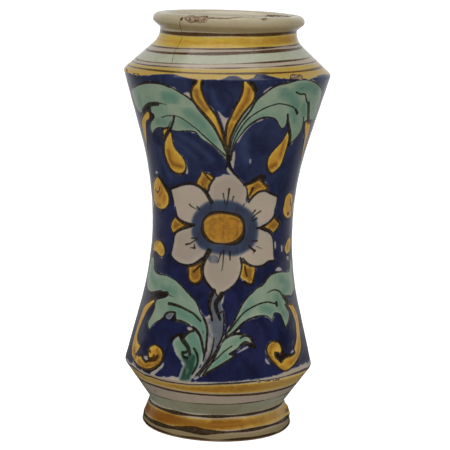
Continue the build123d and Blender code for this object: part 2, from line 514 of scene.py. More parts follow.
BUD_LEFT_UPPER = [
    (157.5, 176), (157.5, 176), (154.5, 180), (153, 186), (152.3, 191), (152.6, 197), (154.3, 203),
    (157, 207.5), (161, 210), (165, 209), (168, 205.5), (169.3, 200), (168.8, 194.5), (166.5, 190),
    (163.5, 185), (160.5, 180),
]
BUD_LEFT_LOWER = [
    (157, 239.5), (153.6, 241.5), (152.4, 247), (152.8, 251.5), (156.5, 252.5), (159, 255.5), (162, 257),
    (162, 257), (164.5, 254), (165, 249), (163.5, 244.5), (161, 241),
]
BUD_RIGHT_UPPER = [
    (290, 192), (286.5, 195), (284.5, 199), (283.5, 205), (282.5, 210), (283.5, 215), (286.5, 218.5),
    (289.5, 218), (292, 215), (292.8, 208), (293.4, 200), (293, 195),
]
BUD_RIGHT_LOWER = [
    (290.5, 235.5), (287.3, 239.5), (285, 244.5), (284.3, 250), (286, 254.5), (286, 254.5), (288.5, 253.5),
    (290.5, 250), (291.4, 244), (291.5, 238.5),
]
SEPAL_TOP_LEFT = [
    (201.5, 170.3), (201.5, 170.3), (204.5, 173), (208, 173.5), (214, 177.5), (212, 181), (209.5, 185.5),
    (208, 190.5), (204, 189), (200, 186.5), (196, 184), (196, 184), (198, 179), (200.5, 175),
]
SEPAL_TOP_RIGHT = [
    (246, 185.5), (251, 183.5), (255.5, 181), (259, 179), (262.5, 181.5), (264, 183.5), (267, 186.5),
    (267.5, 189.5), (264, 190.5), (259, 191.5), (255, 194), (251.5, 197), (249, 199.5), (247.5, 194),
    (247, 189),
]
SEPAL_LEFT = [
    (175, 217), (175, 217), (172.5, 220.5), (171, 225), (171.5, 229.5), (173.5, 233.5), (173.5, 233.5),
    (177, 231), (181, 229), (186, 227), (190, 225.2), (190, 225.2), (185, 223.5), (180, 221),
    (177, 218.5),
]
SEPAL_RIGHT = [
    (274.3, 216.5), (274.3, 216.5), (277, 220), (279.5, 223.5), (278, 227), (275.5, 230.5),
    (273, 233.5), (273, 233.5), (270, 230.5), (266, 228.5), (262, 227.5), (262, 227.5), (266, 225),
    (270, 221.5),
]
SEPAL_BOTTOM_LEFT = [
    (188.5, 266.5), (188.3, 272), (188.5, 278), (191, 282), (196, 283.5), (200.5, 281), (202.5, 276),
    (202, 270), (202, 265), (203, 260), (198, 263), (193, 265.3),
]
SEPAL_BOTTOM_RIGHT = [
    (241.5, 262), (246, 264), (250, 266.3), (255, 267.3), (254.8, 273), (253.5, 279), (252, 283.5),
    (249, 283.5), (245, 281), (240.5, 277.5), (241, 271), (242, 266),
]
SCROLL_LEFT = [
    (154.5, 298.5), (151, 300), (146.5, 303.5), (143, 308.5), (140, 315), (137.3, 322), (135, 329),
    (133, 336), (131.6, 343), (131.2, 350), (132.3, 357), (136, 363.3), (141, 367.8), (147, 370),
    (153, 369), (158.5, 365.5), (162.2, 360.5), (163.3, 354.5), (161.8, 349.3), (158.3, 345.8),
    (153.8, 344.5), (150, 346.8), (148.3, 351.5), (148.4, 356.5), (149.5, 360), (149.5, 360),
    (146, 361.7), (143, 359), (141.5, 356), (138, 354.8), (136, 354), (136, 354), (139, 349.5),
    (140.8, 345.5), (138.5, 342), (137.8, 336.5), (139.3, 330), (142, 323), (145, 316.5), (148.5, 310),
    (152.5, 305), (155, 302.5),
]
SCROLL_RIGHT = [
    (288.5, 303.5), (292, 303), (295.5, 307.5), (298.3, 313), (299.8, 320), (300.3, 328), (300.5, 336),
    (301.2, 344), (300.5, 352), (298, 359), (294.5, 364.5), (290, 368.7), (285.5, 371), (281, 369.7),
    (276.5, 366), (272, 361.5), (268.8, 357), (266.8, 352), (267, 347), (269.3, 343.2), (273.3, 341),
    (277.5, 342), (280.5, 346), (281.8, 350.5), (280.5, 355), (280.5, 355), (277.8, 352.8), (275.5, 355),
    (278, 359), (281, 362), (281, 362), (284.5, 358), (288, 356.3), (292, 355), (295, 352), (295, 352),
    (294, 348.5), (295.2, 343), (296.2, 336), (296, 329), (295.2, 322), (293, 315.5), (290.5, 310),
    (288, 306.5),
]
TONGUE_LEFT = [
    (147, 110.5), (144.5, 113), (142.3, 117), (141.5, 124), (142.8, 132), (144.3, 140), (145.8, 148),
    (146.6, 148), (146.6, 138), (146, 128), (146.5, 122), (149.5, 119.5), (150, 115.5), (149, 112),
]
TONGUE_RIGHT = [
    (305.5, 122), (304.3, 128), (304.5, 134), (304.3, 140), (303.2, 146), (302.2, 152), (301.3, 158),
    (302.4, 158), (304.6, 150), (306.8, 142), (309, 134), (310.6, 127), (310, 122), (307.5, 121),
]
FLECK_LEFT = [(163, 129.5), (169, 128), (166, 133.5), (163.5, 139), (163, 134)]
SEPALS = [
    SEPAL_TOP_LEFT, SEPAL_TOP_RIGHT, SEPAL_LEFT, SEPAL_RIGHT, SEPAL_BOTTOM_LEFT, SEPAL_BOTTOM_RIGHT,
]
YELLOWS = [
    DROP_LEFT, DROP_RIGHT, BUD_LEFT_UPPER, BUD_LEFT_LOWER, BUD_RIGHT_UPPER, BUD_RIGHT_LOWER,
    *SEPALS, SCROLL_LEFT, SCROLL_RIGHT, TONGUE_LEFT, TONGUE_RIGHT, FLECK_LEFT,
]
STALKS = [STALK_LEFT, STALK_RIGHT]

FLOWER_DISC = [
    (202.5, 228), (203, 221.5), (206.5, 216.5), (212, 213.3), (219, 212.2), (226, 212.8), (233, 214),
    (239, 216.3), (242.8, 220.5), (244, 227), (243.3, 233.5), (240.5, 239), (235.5, 242.5), (229, 244),
    (222, 243.8), (215, 243.2), (209, 240.5), (205, 236), (202.8, 232),
]
FLOWER_RING = [
    (192, 225), (192.5, 218), (196, 212), (201, 206.5), (207, 202.5), (214, 200.5), (222, 200.3),
    (230, 200.8), (237, 202.8), (243, 206), (249, 210), (254, 215.5), (257, 222), (258, 229),
    (257.5, 236), (255.5, 242), (251, 248), (245, 252), (239, 254.5), (232, 255.5), (225, 254.5),
    (218, 254), (211, 252.5), (205, 250), (200, 247.5), (196.5, 243), (194, 238.5), (192, 234),
]
PETAL_TOP = [
    (210.5, 201), (209, 195), (208.8, 190), (210, 185.5), (212.5, 181), (215.5, 178), (220, 176.5),
    (224, 174.5), (228, 175), (233, 175), (237, 176.5), (241, 180), (244.5, 184.5), (246.3, 189),
    (246.8, 194), (246, 199), (243, 210), (225, 214),
]
PETAL_UPPER_LEFT = [
    (211, 203), (205.5, 193), (201, 188.5), (196, 185.8), (190, 184.8), (184, 185.3), (178, 187.3),
    (172, 190), (172.5, 195), (174, 201), (175, 207), (176.3, 212), (177.5, 216.5), (181, 220),
    (186, 222.5), (192, 224.5), (203, 222),
]
PETAL_LOWER_LEFT = [
    (191, 226.5), (186, 228), (180, 230.3), (176.5, 233), (174.8, 238), (174, 244), (173, 250),
    (172, 254.5), (175, 259), (180, 262.5), (186, 264), (192, 263.5), (197, 261), (202, 257),
    (207, 251), (205, 236),
]
PETAL_BOTTOM = [
    (210, 250), (206, 258), (204, 264), (203.2, 271), (204.5, 278), (208, 284), (212.5, 289),
    (215, 293), (218, 296), (218, 296), (222, 293.5), (227, 290), (233, 285.5), (238, 279),
    (240.5, 272), (241.5, 265), (240.5, 259), (238, 248),
]
PETAL_LOWER_RIGHT = [
    (255, 229), (264, 231.5), (269, 233.5), (271.5, 237), (272.5, 243), (272.8, 250), (273, 256),
    (274.5, 260), (269, 261), (265, 263.5), (260, 265), (255, 266), (250, 265), (246, 262.5),
    (242, 259), (240, 248),
]
PETAL_UPPER_RIGHT = [
    (248, 201), (252, 197), (255, 194.5), (259, 192), (264.5, 191.5), (270, 194), (276.5, 197.5),
    (276, 204), (274.3, 210), (273.5, 215), (270.5, 219.5), (266, 223), (262, 225), (259, 227),
    (252, 228), (243, 210),
]
PETALS = [
    PETAL_TOP, PETAL_UPPER_LEFT, PETAL_LOWER_LEFT, PETAL_BOTTOM, PETAL_LOWER_RIGHT, PETAL_UPPER_RIGHT,
]
STEM = [
    (212, 291), (210, 298), (209.6, 306), (211, 313), (211.5, 317), (206, 319), (207, 326), (207.8, 334),
    (207.6, 342), (206.8, 349), (205, 355), (204, 361), (201.5, 367), (198.5, 371), (195, 374.5),
    (192, 378), (192, 378), (196, 378), (200, 375.5), (204, 371.5), (208, 366), (211, 361),
    (214, 355.5), (217.5, 350), (221, 344), (223, 336), (224, 328), (224, 319), (223.5, 312),
    (221.5, 306), (222, 300), (223.5, 294.5), (220, 296.5), (216, 294.5),
]
# Three petals painted greyer than the white glaze
GREYED_PETALS = [PETAL_TOP, PETAL_LOWER_LEFT, PETAL_BOTTOM]
BLUE_TIP = [(166, 315), (169, 313.3), (173, 313.3), (171.5, 317.3), (169, 318.8), (167, 317.5)]
PETAL_SHADE = [(208, 256), (213, 255), (218, 257), (218.5, 262), (213, 263.5), (208.5, 261)]

# Bare glaze left between the motifs and the blue ground, with two small painted highlights
WHITE_GAPS = [
    [(218, 111), (222, 115.5), (226.5, 118.5), (228.5, 118), (226.5, 125), (225, 133), (223.5, 126),
     (221, 119)],
    [(183, 94), (188, 92.5), (190, 95), (191.5, 99.5), (188, 97.5)],
    [(183, 158), (185.5, 162), (187, 167), (187.8, 172.5), (186, 173.5), (186.3, 168), (185, 163)],
    [(227.3, 167.5), (229.6, 170), (233, 174.6), (230.5, 174.8), (228, 173), (226.8, 170.5)],
    [(230.6, 158), (232, 154), (234.3, 151.5), (234.8, 156), (234, 162), (233.2, 168.5), (231.6, 165),
     (230.5, 161.5)],
    [(236, 141), (241, 132), (247, 125.5), (254, 121), (262, 118.6), (262, 120), (255, 122.8),
     (249, 127.2), (243, 134), (238, 142)],
    [(264, 91.5), (268, 88.5), (272, 86.8), (269, 89.5), (264.5, 93.3)],
    [(262, 187), (264.5, 181.5), (268, 187), (268, 190.5)],
    [(274, 243), (275.2, 242), (275.8, 246), (274.8, 248.5)],
    [(281, 246), (282, 246), (282, 251), (281.2, 251)],
    [(275.5, 270), (278, 267.5), (280.5, 268), (281.5, 270.3), (278, 270.8)],
    [(286.5, 257), (288, 256.5), (288.3, 259), (287.3, 259)],
    [(144.3, 356.5), (149, 356.8), (149.5, 359.5), (146.5, 360.5), (144.5, 358.5)],
    [(160, 366.5), (163.5, 363), (162.5, 367), (158, 371), (154.5, 375), (159, 378), (154, 378.5),
     (150.5, 374.5), (154, 370.5)],
    [(265.5, 358.5), (267.5, 361), (269.5, 364), (266.5, 362.5)],
    [(291, 353), (292.5, 350.5), (294, 350), (293, 352.7)],
    [(236, 331.5), (238.5, 329.5), (239.3, 331.5), (237.8, 332.8)],
    [(237.5, 352.7), (240.5, 350.6), (244, 348.2), (247.5, 346.6), (247.5, 347.6), (243, 350)],
    [(192, 377.5), (196, 372), (199, 368.5), (200, 370.5), (196, 376)],
    [(200.5, 375.8), (203.5, 371.5), (205, 373.5), (202.3, 376.3)],
    [(204, 317), (207, 316.8), (210, 315), (211, 319.5), (208, 320.5)],
    [(187.5, 327.5), (192.5, 328), (193, 330), (189.5, 330.5)],
    [(209.5, 300), (211.5, 294), (212.5, 296), (210.7, 302)],
    [(182, 361), (184.5, 363.5), (184, 366), (181.8, 363.5)],
    [(150.4, 324.5), (149.7, 329), (148.6, 326)],
    [(222, 339), (225, 335), (226.5, 336), (223.5, 341)],
    # Painted highlights: two small glints on the glaze, laid as bare white glaze
    [(155.7, 171.5), (157.5, 171.7), (157.3, 173.3), (155.8, 173.2)],
    [(249.9, 159.5), (250.5, 159.5), (250.7, 162), (250.2, 163.4), (249.8, 162)],
    [(156, 378), (165, 379), (172, 376.3), (178, 378.5), (186, 382), (176, 382.3), (164, 380.5)],
    [(244, 383.5), (250, 381.5), (257, 380.5), (257, 383), (250, 384), (240, 384.3)],
]

# Brush lines in manganese, each as half width at its start and end in millimetres, then points
LINES = [
    (1.7, 1.2, [(143, 112), (146.5, 106.8), (151, 104.2), (157.5, 103.8)]),
    (0.5, 0.2, [(157, 103.2), (161, 103.3), (166.5, 104.6)]),
    (0.9, 0.9, [(151.5, 114), (153, 116.5), (151.5, 119)]),
    (0.3, 0.5, [(161.5, 117.7), (166, 116), (172, 115.7), (178, 116.5), (184, 119.5), (190, 124),
                (196, 128.5), (202, 134), (208, 139.5), (214, 145), (220, 150.5), (225.5, 156)]),
    (0.7, 1.0, [(174, 116), (173.3, 121), (171.5, 126), (169.8, 131)]),
    (0.2, 0.5, [(170.5, 121), (169, 125.5), (167.5, 129)]),
    (1.5, 1.2, [(193.5, 78), (195.3, 81), (193.5, 84.5)]),
    (0.9, 0.5, [(202, 79), (203, 82), (202, 86)]),
    (1.3, 1.6, [(247.5, 80), (250.5, 83), (253.5, 86), (255.3, 89.5)]),
    (0.9, 0.7, [(227, 148), (228.3, 154), (228.2, 160), (227.8, 165)]),
    (1.0, 0.5, [(228.3, 156), (229, 163), (230.5, 168), (234, 173), (238, 177.5), (244, 184.3)]),
    (0.5, 0.3, [(226.8, 166), (225.8, 170), (229.5, 174.5)]),
    (0.5, 0.4, [(231, 156), (232, 149), (235, 139), (239, 131), (244, 123.5), (249, 118), (255, 113.5),
                (261, 110), (267, 107), (273, 105), (279, 103.6), (285, 104.5), (290, 105.8),
                (294, 108), (297, 112.5)]),
    (0.8, 1.0, [(295.5, 109.5), (297.3, 113.3)]),
    (0.5, 0.6, [(296, 92), (300, 94), (305, 94.3), (306, 99), (308, 104)]),
    (1.2, 1.6, [(308.6, 103), (308.6, 110), (308.3, 117), (308.7, 122)]),
    (0.6, 0.8, [(303.7, 117), (303.3, 122), (301.7, 129), (300, 133)]),
    (0.8, 1.3, [(287.5, 114.5), (288, 122), (289.3, 129), (290, 136), (289.5, 144)]),
    (0.8, 1.2, [(170, 189), (175, 187), (182, 184.5), (190, 183.5), (196, 184.8), (201, 187.5),
                (205.5, 192), (209, 197.5), (211.5, 202)]),
    (1.0, 0.7, [(157.5, 175.5), (162, 180), (166, 186), (170, 190), (172.3, 196), (173.5, 204)]),
    (0.4, 1.0, [(175.5, 207), (176.5, 213), (178, 217.5), (182, 221), (187, 223.3), (193.5, 225)]),
    (1.0, 0.6, [(192.5, 225.3), (186, 227.6), (180, 229.8), (176, 232.5), (174, 237), (173.5, 243)]),
    (0.4, 0.8, [(173.5, 243), (172, 250), (171, 254.5), (174, 259.2), (179, 263), (185, 265),
                (191, 264.8), (196, 262.8), (202, 258.5)]),
    (1.6, 0.7, [(209, 251), (205.5, 257.5), (203, 264), (202, 271), (203.8, 278), (208, 284.5),
                (212.5, 289.5)]),
    (0.6, 0.5, [(240.3, 258), (241.8, 264), (241, 271), (238.5, 278.5), (234, 284.8), (228.5, 289.3),
                (222.5, 293)]),
    (0.5, 0.5, [(256.5, 228), (264, 230), (269, 232.5), (272, 236.5), (273.5, 243), (273.8, 250),
                (274, 257), (275, 260.5)]),
    (0.6, 0.8, [(243, 258.5), (247, 263), (252, 265.8), (258, 266.5), (264, 265), (268, 261.7),
                (275, 260.5)]),
    (0.7, 0.7, [(248.5, 202), (252.5, 197), (256, 193.8), (260, 191.3), (265, 190.7), (270, 193),
                (277.5, 196.5)]),
    (0.5, 0.6, [(277, 198), (276.3, 204), (274.8, 209.5), (273.8, 215.5), (270.5, 220.3), (267, 223.5),
                (262, 226.5), (257, 228.3)]),
    (0.3, 0.2, [(244.5, 184.5), (246.8, 190), (247, 195), (245.5, 200)]),
    (1.6, 0.9, [(264, 177), (259, 177), (254, 180.3), (249, 183.3), (244.5, 184.8)]),
    (0.6, 0.5, [(203, 171.5), (207, 176.5), (211.5, 181)]),
    (0.3, 0.3, [(202, 184), (206, 189)]),
    (0.8, 0.6, [(253, 188), (249.5, 195.5)]),
    (0.8, 0.5, [(200, 265.8), (197, 268.5), (193.5, 272)]),
    (0.6, 0.5, [(244.8, 266.5), (245.5, 271), (247, 276)]),
    (0.7, 0.9, [(188.5, 279), (191, 282.5), (196, 284.3), (200.5, 282)]),
    (0.6, 0.8, [(255.5, 268), (255, 275), (253.3, 282.5), (249.5, 285), (244, 281.8)]),
    (0.5, 0.5, [(155.5, 189.3), (157, 192), (159, 191), (159.8, 187)]),
    (0.5, 0.8, [(290.4, 198.5), (290.2, 202.5), (291.5, 205.5), (291.2, 210)]),
    (0.9, 0.6, [(287.3, 213.5), (289, 213.2)]),
    (0.5, 0.25, [(223.2, 193.5), (224, 198), (225, 204)]),
    (0.7, 0.3, [(229.2, 189), (228.5, 195), (227, 205)]),
    (0.5, 0.3, [(233.5, 196.5), (232.3, 201)]),
    (0.5, 0.2, [(189.5, 204.3), (192, 206.8), (196, 208.8), (200, 210)]),
    (0.6, 0.3, [(197.2, 206.8), (200, 210)]),
    (0.6, 0.3, [(186, 244.3), (190, 243.5), (194, 241), (198, 238.5)]),
    (0.5, 0.4, [(191.5, 238.3), (196, 238)]),
    (0.7, 0.2, [(194.7, 248), (194.3, 243.5)]),
    (0.7, 0.2, [(194.5, 248), (190, 247.6)]),
    (0.5, 0.2, [(221, 252), (219.5, 258), (217.5, 263)]),
    (0.5, 0.2, [(223.8, 251), (223.3, 258), (222.8, 265), (221.8, 271)]),
    (0.7, 0.4, [(230, 252), (230, 260)]),
    (0.6, 0.3, [(255.2, 210.3), (252.5, 213.5)]),
    (0.5, 0.3, [(260.7, 211), (255, 215), (251, 219)]),
    (0.6, 0.4, [(256.7, 218.3), (252, 221)]),
    (0.6, 0.3, [(257, 241), (252, 241)]),
    (0.3, 0.2, [(256, 246.3), (262, 248.7)]),
    (0.9, 0.4, [(254.5, 250.8), (251, 248), (248.5, 245.5)]),
    (0.3, 0.2, [(254, 251), (253, 254)]),
    (0.4, 0.3, [(243.3, 206), (244.5, 203.5)]),
    (1.0, 0.6, [(169, 303.5), (175, 304.8), (181, 307), (187, 310), (192, 312.8)]),
    (0.6, 0.7, [(192, 312.5), (196, 316), (200.5, 321)]),
    (1.7, 1.5, [(151, 297), (156.5, 294.5), (162, 294.3), (167, 293.6)]),
    (0.9, 0.7, [(159.5, 292.5), (160.8, 290.8)]),
    (0.4, 0.15, [(167, 294), (170.5, 295.7), (174, 296.8)]),
    (0.8, 1.0, [(175.3, 312.8), (174, 316), (172, 320)]),
    (0.7, 0.7, [(163, 319.5), (165.3, 314), (169.5, 312), (175, 312.3)]),
    (0.6, 0.4, [(171.5, 320.5), (176, 320), (182, 321), (188, 324), (192, 327.5)]),
    (1.7, 0.9, [(181, 335.5), (183.7, 341), (187, 345.5), (189, 349.5), (189.8, 354)]),
    (1.0, 0.7, [(182.5, 352.5), (186, 352.2), (188.7, 349.5)]),
    (0.8, 0.9, [(182.3, 353), (183.5, 356.5), (187, 357.8)]),
    (0.8, 0.6, [(194, 348.5), (196.7, 353.5), (197.8, 359), (197.3, 364), (195.3, 369), (192.3, 374)]),
    (0.9, 0.8, [(184.5, 336.5), (187.5, 333.2), (190.5, 331.5), (193.5, 330.8)]),
    (1.0, 0.7, [(193, 327.5), (197, 331), (200, 336), (201.8, 342), (203, 349), (204.3, 356)]),
    (0.4, 0.8, [(132.5, 88.5), (136, 85.3), (142, 82.6), (148, 81.8), (155, 82.3), (162, 84), (169, 86.6)]),
    (0.55, 0.55, [(133.5, 73.5), (136, 72.6), (138.3, 74), (138.6, 76.5), (136.5, 78.3), (134, 77.3),
                  (133.3, 74.5)]),
    (0.8, 1.0, [(171, 341), (173.5, 337.3), (178, 334.7)]),
    (1.3, 0.7, [(213.7, 290.5), (211.5, 295.5), (209.8, 301), (209.4, 308), (211, 314), (212.2, 320.5)]),
    (0.8, 0.7, [(203.7, 318), (206, 323.5), (207.3, 330), (207, 337), (206.4, 344), (206, 351)]),
    (0.7, 0.5, [(205, 352), (204, 357), (203.2, 361)]),
    (1.6, 0.8, [(222, 294), (219.5, 298), (216.5, 302), (215.8, 306), (217, 311), (219, 316),
                (220, 319.5)]),
    (0.6, 0.5, [(219.2, 313.2), (223.3, 311)]),
    (0.5, 0.7, [(223.5, 312), (224, 320), (223.7, 328), (222.8, 335), (220.5, 341.5), (217.3, 347.3)]),
    (0.4, 0.7, [(214, 338), (213.3, 344), (212, 350), (210, 356), (207, 361.5), (203.5, 366.5),
                (200, 371), (196.5, 375)]),
    (0.6, 0.8, [(219.5, 346), (215.7, 352), (212, 357.5), (208, 362.5)]),
    (0.5, 0.5, [(208, 362.5), (205.5, 367), (202.5, 371), (199, 376)]),
    (0.7, 0.5, [(215, 292), (217.5, 296)]),
    (0.5, 0.5, [(229.5, 331), (234, 325), (239, 318), (244, 312.5), (249, 309), (255, 305.8),
                (261, 303.3), (267, 302), (272, 302.8), (276, 304)]),
    (1.2, 0.9, [(276.3, 303), (276.8, 305.5)]),
    (0.3, 0.8, [(267.5, 292.7), (272, 290.3), (276, 290), (280, 292), (282.5, 296.5), (285, 300)]),
    (1.4, 1.2, [(283.5, 296.3), (287, 299.8), (291, 303.8)]),
    (0.9, 0.7, [(285.5, 305), (287.5, 309)]),
    (0.5, 0.6, [(222.5, 341.3), (226, 337), (231, 334.5), (236, 333.2), (242, 333.3)]),
    (0.7, 0.4, [(239.5, 327.5), (236, 330.3), (233.8, 332.3), (235, 334)]),
    (0.4, 0.5, [(231.8, 346), (227.5, 349), (223, 352.5), (218.5, 357), (214, 361), (209.5, 364.3),
                (205.5, 368)]),
    (0.9, 1.1, [(240.3, 346), (243.5, 343.3), (247, 342.9), (251, 345.3), (255, 347)]),
    (0.6, 0.9, [(240.5, 337.7), (244, 336), (248, 336), (251, 338.5), (253, 342.5)]),
    (0.7, 0.5, [(229.5, 354), (232.5, 353), (236, 356.5)]),
    (0.6, 0.9, [(233, 357.5), (226, 361.8), (219, 366.3), (212, 370.3), (206, 373.7)]),
    (0.7, 0.5, [(136, 354), (139, 355.3), (142, 356.3), (144, 359.5), (147, 361.6), (150.5, 360.5)]),
    (1.3, 0.8, [(150, 360), (153, 358), (154.2, 355.2)]),
    (1.5, 1.2, [(150.5, 359.7), (155, 359.2), (157.5, 356.5)]),
    (0.6, 0.6, [(155, 357.8), (157.5, 355)]),
    (0.9, 0.5, [(150, 351), (150.7, 352.5)]),
    (1.3, 1.6, [(275.6, 353.5), (276.8, 356.5), (280.5, 359.8)]),
    (1.6, 1.1, [(280.8, 359.8), (283.8, 356.2), (286, 355)]),
    (1.0, 0.9, [(286, 355.6), (291, 355.2), (294.7, 352.7)]),
    (1.4, 1.4, [(279.5, 357), (282, 355.5)]),
    (0.8, 0.9, [(275, 341), (279.7, 342.3), (282.8, 347), (283.7, 352), (282.3, 355.5)]),
]

# Darker, browner touches in the yellow, and deeper green in the leaves: half width, then points
BURNT_TOUCHES = [
    (2.4, [(196, 91), (198, 98), (202, 104.5), (206, 110)]),
    (2.2, [(249, 90), (248, 97), (244, 105), (239, 112), (234.5, 118)]),
    (1.4, [(219, 123), (220.5, 130), (222.5, 137)]),
    (1.8, [(232, 124), (229, 131), (227.3, 139), (227, 146)]),
    (2.2, [(168.5, 152), (170.5, 160), (174, 164.5), (181.5, 166.8)]),
    (2.6, [(271, 166.5), (275, 164.5)]),
    (1.6, [(284, 142), (282, 150), (280, 157)]),
    (1.5, [(157, 204), (160, 205.5)]),
    (1.0, [(164.2, 197), (163.6, 201.5)]),
    (1.4, [(159, 196), (162, 191), (161, 185)]),
    (1.2, [(203, 179.5), (206, 183), (206.5, 187)]),
    (2.0, [(256, 184.5), (258.5, 187), (253, 189)]),
    (1.6, [(174.7, 222), (175.6, 226)]),
    (1.7, [(271.5, 222.5), (272.5, 226), (269.5, 227.5)]),
    (2.6, [(192.5, 275), (197, 277)]),
    (1.0, [(197.5, 270), (194, 272.5)]),
    (2.5, [(249.5, 270), (249, 275), (250, 279.5)]),
    (1.2, [(287.7, 212.5), (288, 215)]),
    (0.9, [(290.5, 202), (290.3, 205)]),
    (1.2, [(158.3, 241.5), (155.5, 243)]),
    (0.9, [(161, 253), (163.5, 250)]),
    (1.2, [(287.5, 243), (286.8, 249)]),
    (2.0, [(157.5, 350), (159.3, 355), (158, 361), (153, 365.5)]),
    (2.2, [(150, 365), (144, 366), (139, 361.5)]),
    (2.0, [(134, 349), (135.5, 357)]),
    (1.8, [(275.5, 342.5), (271.3, 347), (270, 353), (272, 359), (276, 363.5)]),
    (1.4, [(299, 339), (298.8, 349), (296, 357), (290.5, 363)]),
    (1.3, [(286, 369), (281, 367.3)]),
    (1.8, [(223.5, 226), (223.3, 233), (222.8, 237.5)]),
    (2.2, [(231, 218), (235, 219.5), (239.5, 221.5)]),
    (2.0, [(236.5, 227), (237.5, 233), (233.5, 238.5)]),
    (2.2, [(209.5, 233.5), (213, 237)]),
    (1.8, [(209, 222), (215, 219), (222, 218.5)]),
    (0.8, [(144, 306), (141, 313), (138, 322)]),
    (0.8, [(291, 305), (294.5, 312), (297, 320)]),
]
DEEP_GREEN_TOUCHES = [
    (4.2, [(166, 97), (173, 99)]), (2.4, [(139, 98), (141, 105)]), (1.8, [(157, 121), (165, 122)]),
    (3.6, [(188, 113), (196, 119), (203, 127)]), (2.0, [(207, 132), (214, 141)]),
    (4.5, [(300, 89), (309, 86), (316, 90)]), (4.0, [(284, 93), (291, 97), (296, 106)]),
    (3.0, [(293, 112), (295, 120)]), (2.6, [(245, 133), (256, 122), (263, 118)]),
    (2.2, [(303, 106), (304.5, 114)]), (2.0, [(250, 122), (240, 135)]),
    (2.4, [(153, 266), (152, 276), (156, 284)]), (2.0, [(163, 288), (175, 292)]),
    (3.0, [(172, 309), (183, 314), (192, 318)]), (4.4, [(193, 318), (199, 325), (203.5, 333), (204, 342)]),
    (4.3, [(192, 336), (194, 343)]), (2.6, [(180, 343), (182, 349)]),
    (9.0, [(187, 362), (187, 369), (186, 378)]), (7.4, [(191.5, 357), (191, 366), (188, 377)]),
    (3.4, [(192, 336), (197, 343), (199, 350)]), (4.6, [(186, 347), (187, 353)]),
    (4.2, [(201, 331), (205, 340), (206, 348)]), (2.6, [(182, 122), (190, 127)]),
    (2.6, [(281, 279), (288, 285), (284, 291)]), (2.6, [(277, 297), (280, 306), (284, 314)]),
    (2.2, [(250, 302), (246, 310)]), (2.2, [(262, 308), (272, 311)]), (2.0, [(236, 320), (231, 328)]),
    (1.8, [(243, 337), (236, 341)]), (2.2, [(212, 367), (219, 362), (226, 356)]),
    (1.6, [(206, 372), (212, 370)]),
]

# Strokes where the paint was brushed thinner: half width, then points
THIN_STROKES = [
    (1.8, [(178, 134), (190, 141), (202, 150), (212, 160)]),
    (1.3, [(176, 142), (186, 149), (196, 158)]),
    (2.6, [(246, 135), (243.5, 146), (247, 160)]),
    (1.4, [(160, 148), (163, 162), (170, 176)]),
    (1.3, [(212, 92), (215, 102), (222, 110)]),
    (1.5, [(206, 319), (209, 327), (210.5, 336), (209, 346), (206.5, 356)]),
]

# The lower edge of the yellow band under the shoulder, the line along the heel's edge, and where
# the blue ends above it
FIELD_TOP = [
    (124, 72), (130, 73), (134, 74.1), (139, 75.2), (147, 74.9), (155, 74.3), (165, 73.8), (173, 74),
    (179, 75.2), (185, 77), (192, 78.6), (202, 78.9), (211, 79.2), (219, 79), (225, 77.4), (229.3, 75.8),
    (235.4, 75.7), (240.4, 77.5), (244, 79.2), (249, 79), (253.5, 77), (256, 74.1), (263.4, 74.1),
    (269.5, 75.8), (277.5, 77.5), (285.5, 78.2), (291.5, 78.5), (302.6, 78.5), (309.6, 78.4),
    (315.6, 75.9), (323.6, 74.1), (326, 74),
]
FIELD_BOTTOM = [
    (132, 366), (143, 374), (152, 377), (160, 379.8), (170, 382), (180, 383.5), (190, 384.5), (200, 384.6),
    (210, 384.3), (220, 383.8), (230, 383.4), (240, 382.8), (250, 381.8), (260, 380.8), (270, 379.6),
    (280, 377.6), (290, 375), (300, 371.4), (309, 367.3),
]
BLUE_FOOT = [
    (132, 364), (143, 372), (150, 375), (156, 377), (178, 377.6), (184, 380), (190, 382), (205, 382.3),
    (215, 382.5), (230, 382), (245, 380.8), (256, 379.5), (265, 378), (275, 376.2), (280, 374.2),
    (285, 372), (290, 369.5), (300, 366), (309, 361),
]


# An azimuth left between a traced edge's ends and its unseen stretch behind
join_gap = 0.3


def edge_heights(pixels):
    """Height of a traced edge at every azimuth. Behind, where it isn't seen, it goes back from
    one end to the other with a slow wave of 0.9 mm and a quicker one of 0.5 mm."""
    azimuth, run = onto_wall(smooth_line(pixels, False))
    height = wall_point(run)[1]
    order = np.argsort(azimuth)
    azimuth, height = azimuth[order], height[order]
    middle = 0.5 * (height[0] + height[-1])
    behind = np.linspace(azimuth[-1] + join_gap, azimuth[0] + 2 * math.pi - join_gap, 20)
    bumps = middle + 0.9 * np.sin(5 * behind) + 0.5 * np.sin(11 * behind + 1)
    azimuth = np.concatenate([azimuth, behind])
    height = np.concatenate([height, bumps])
    return np.interp(around, azimuth, height, period=2 * math.pi)


def level(pixel_row, tilt, seed, wobble=0.12):
    """Height at every azimuth of a hand-held brush line that crosses the middle column at this
    row. Tilt is how far it climbs towards the jar's right side."""
    return front_height(pixel_row) + tilt * np.sin(around) + wobble * waver(seed, 60)


def copies(azimuth, run):
    """A motif's points at the front, and for the unseen back: turned half round the jar and
    shifted by slow sines of place, as a second hand-drawn copy would be."""
    yield azimuth, run
    shift = 0.035 * np.sin(2.3 * azimuth + 0.02 * run) + 0.02
    lift = 1.6 * np.sin(1.7 * azimuth + 0.4) + 1.2 * np.sin(0.045 * run)
    yield azimuth + shift + math.pi, run + lift


def traced(points, closed=False):
    """The copies of a line or outline that was traced from the photograph."""
    return copies(*onto_wall(smooth_line(points, closed)))


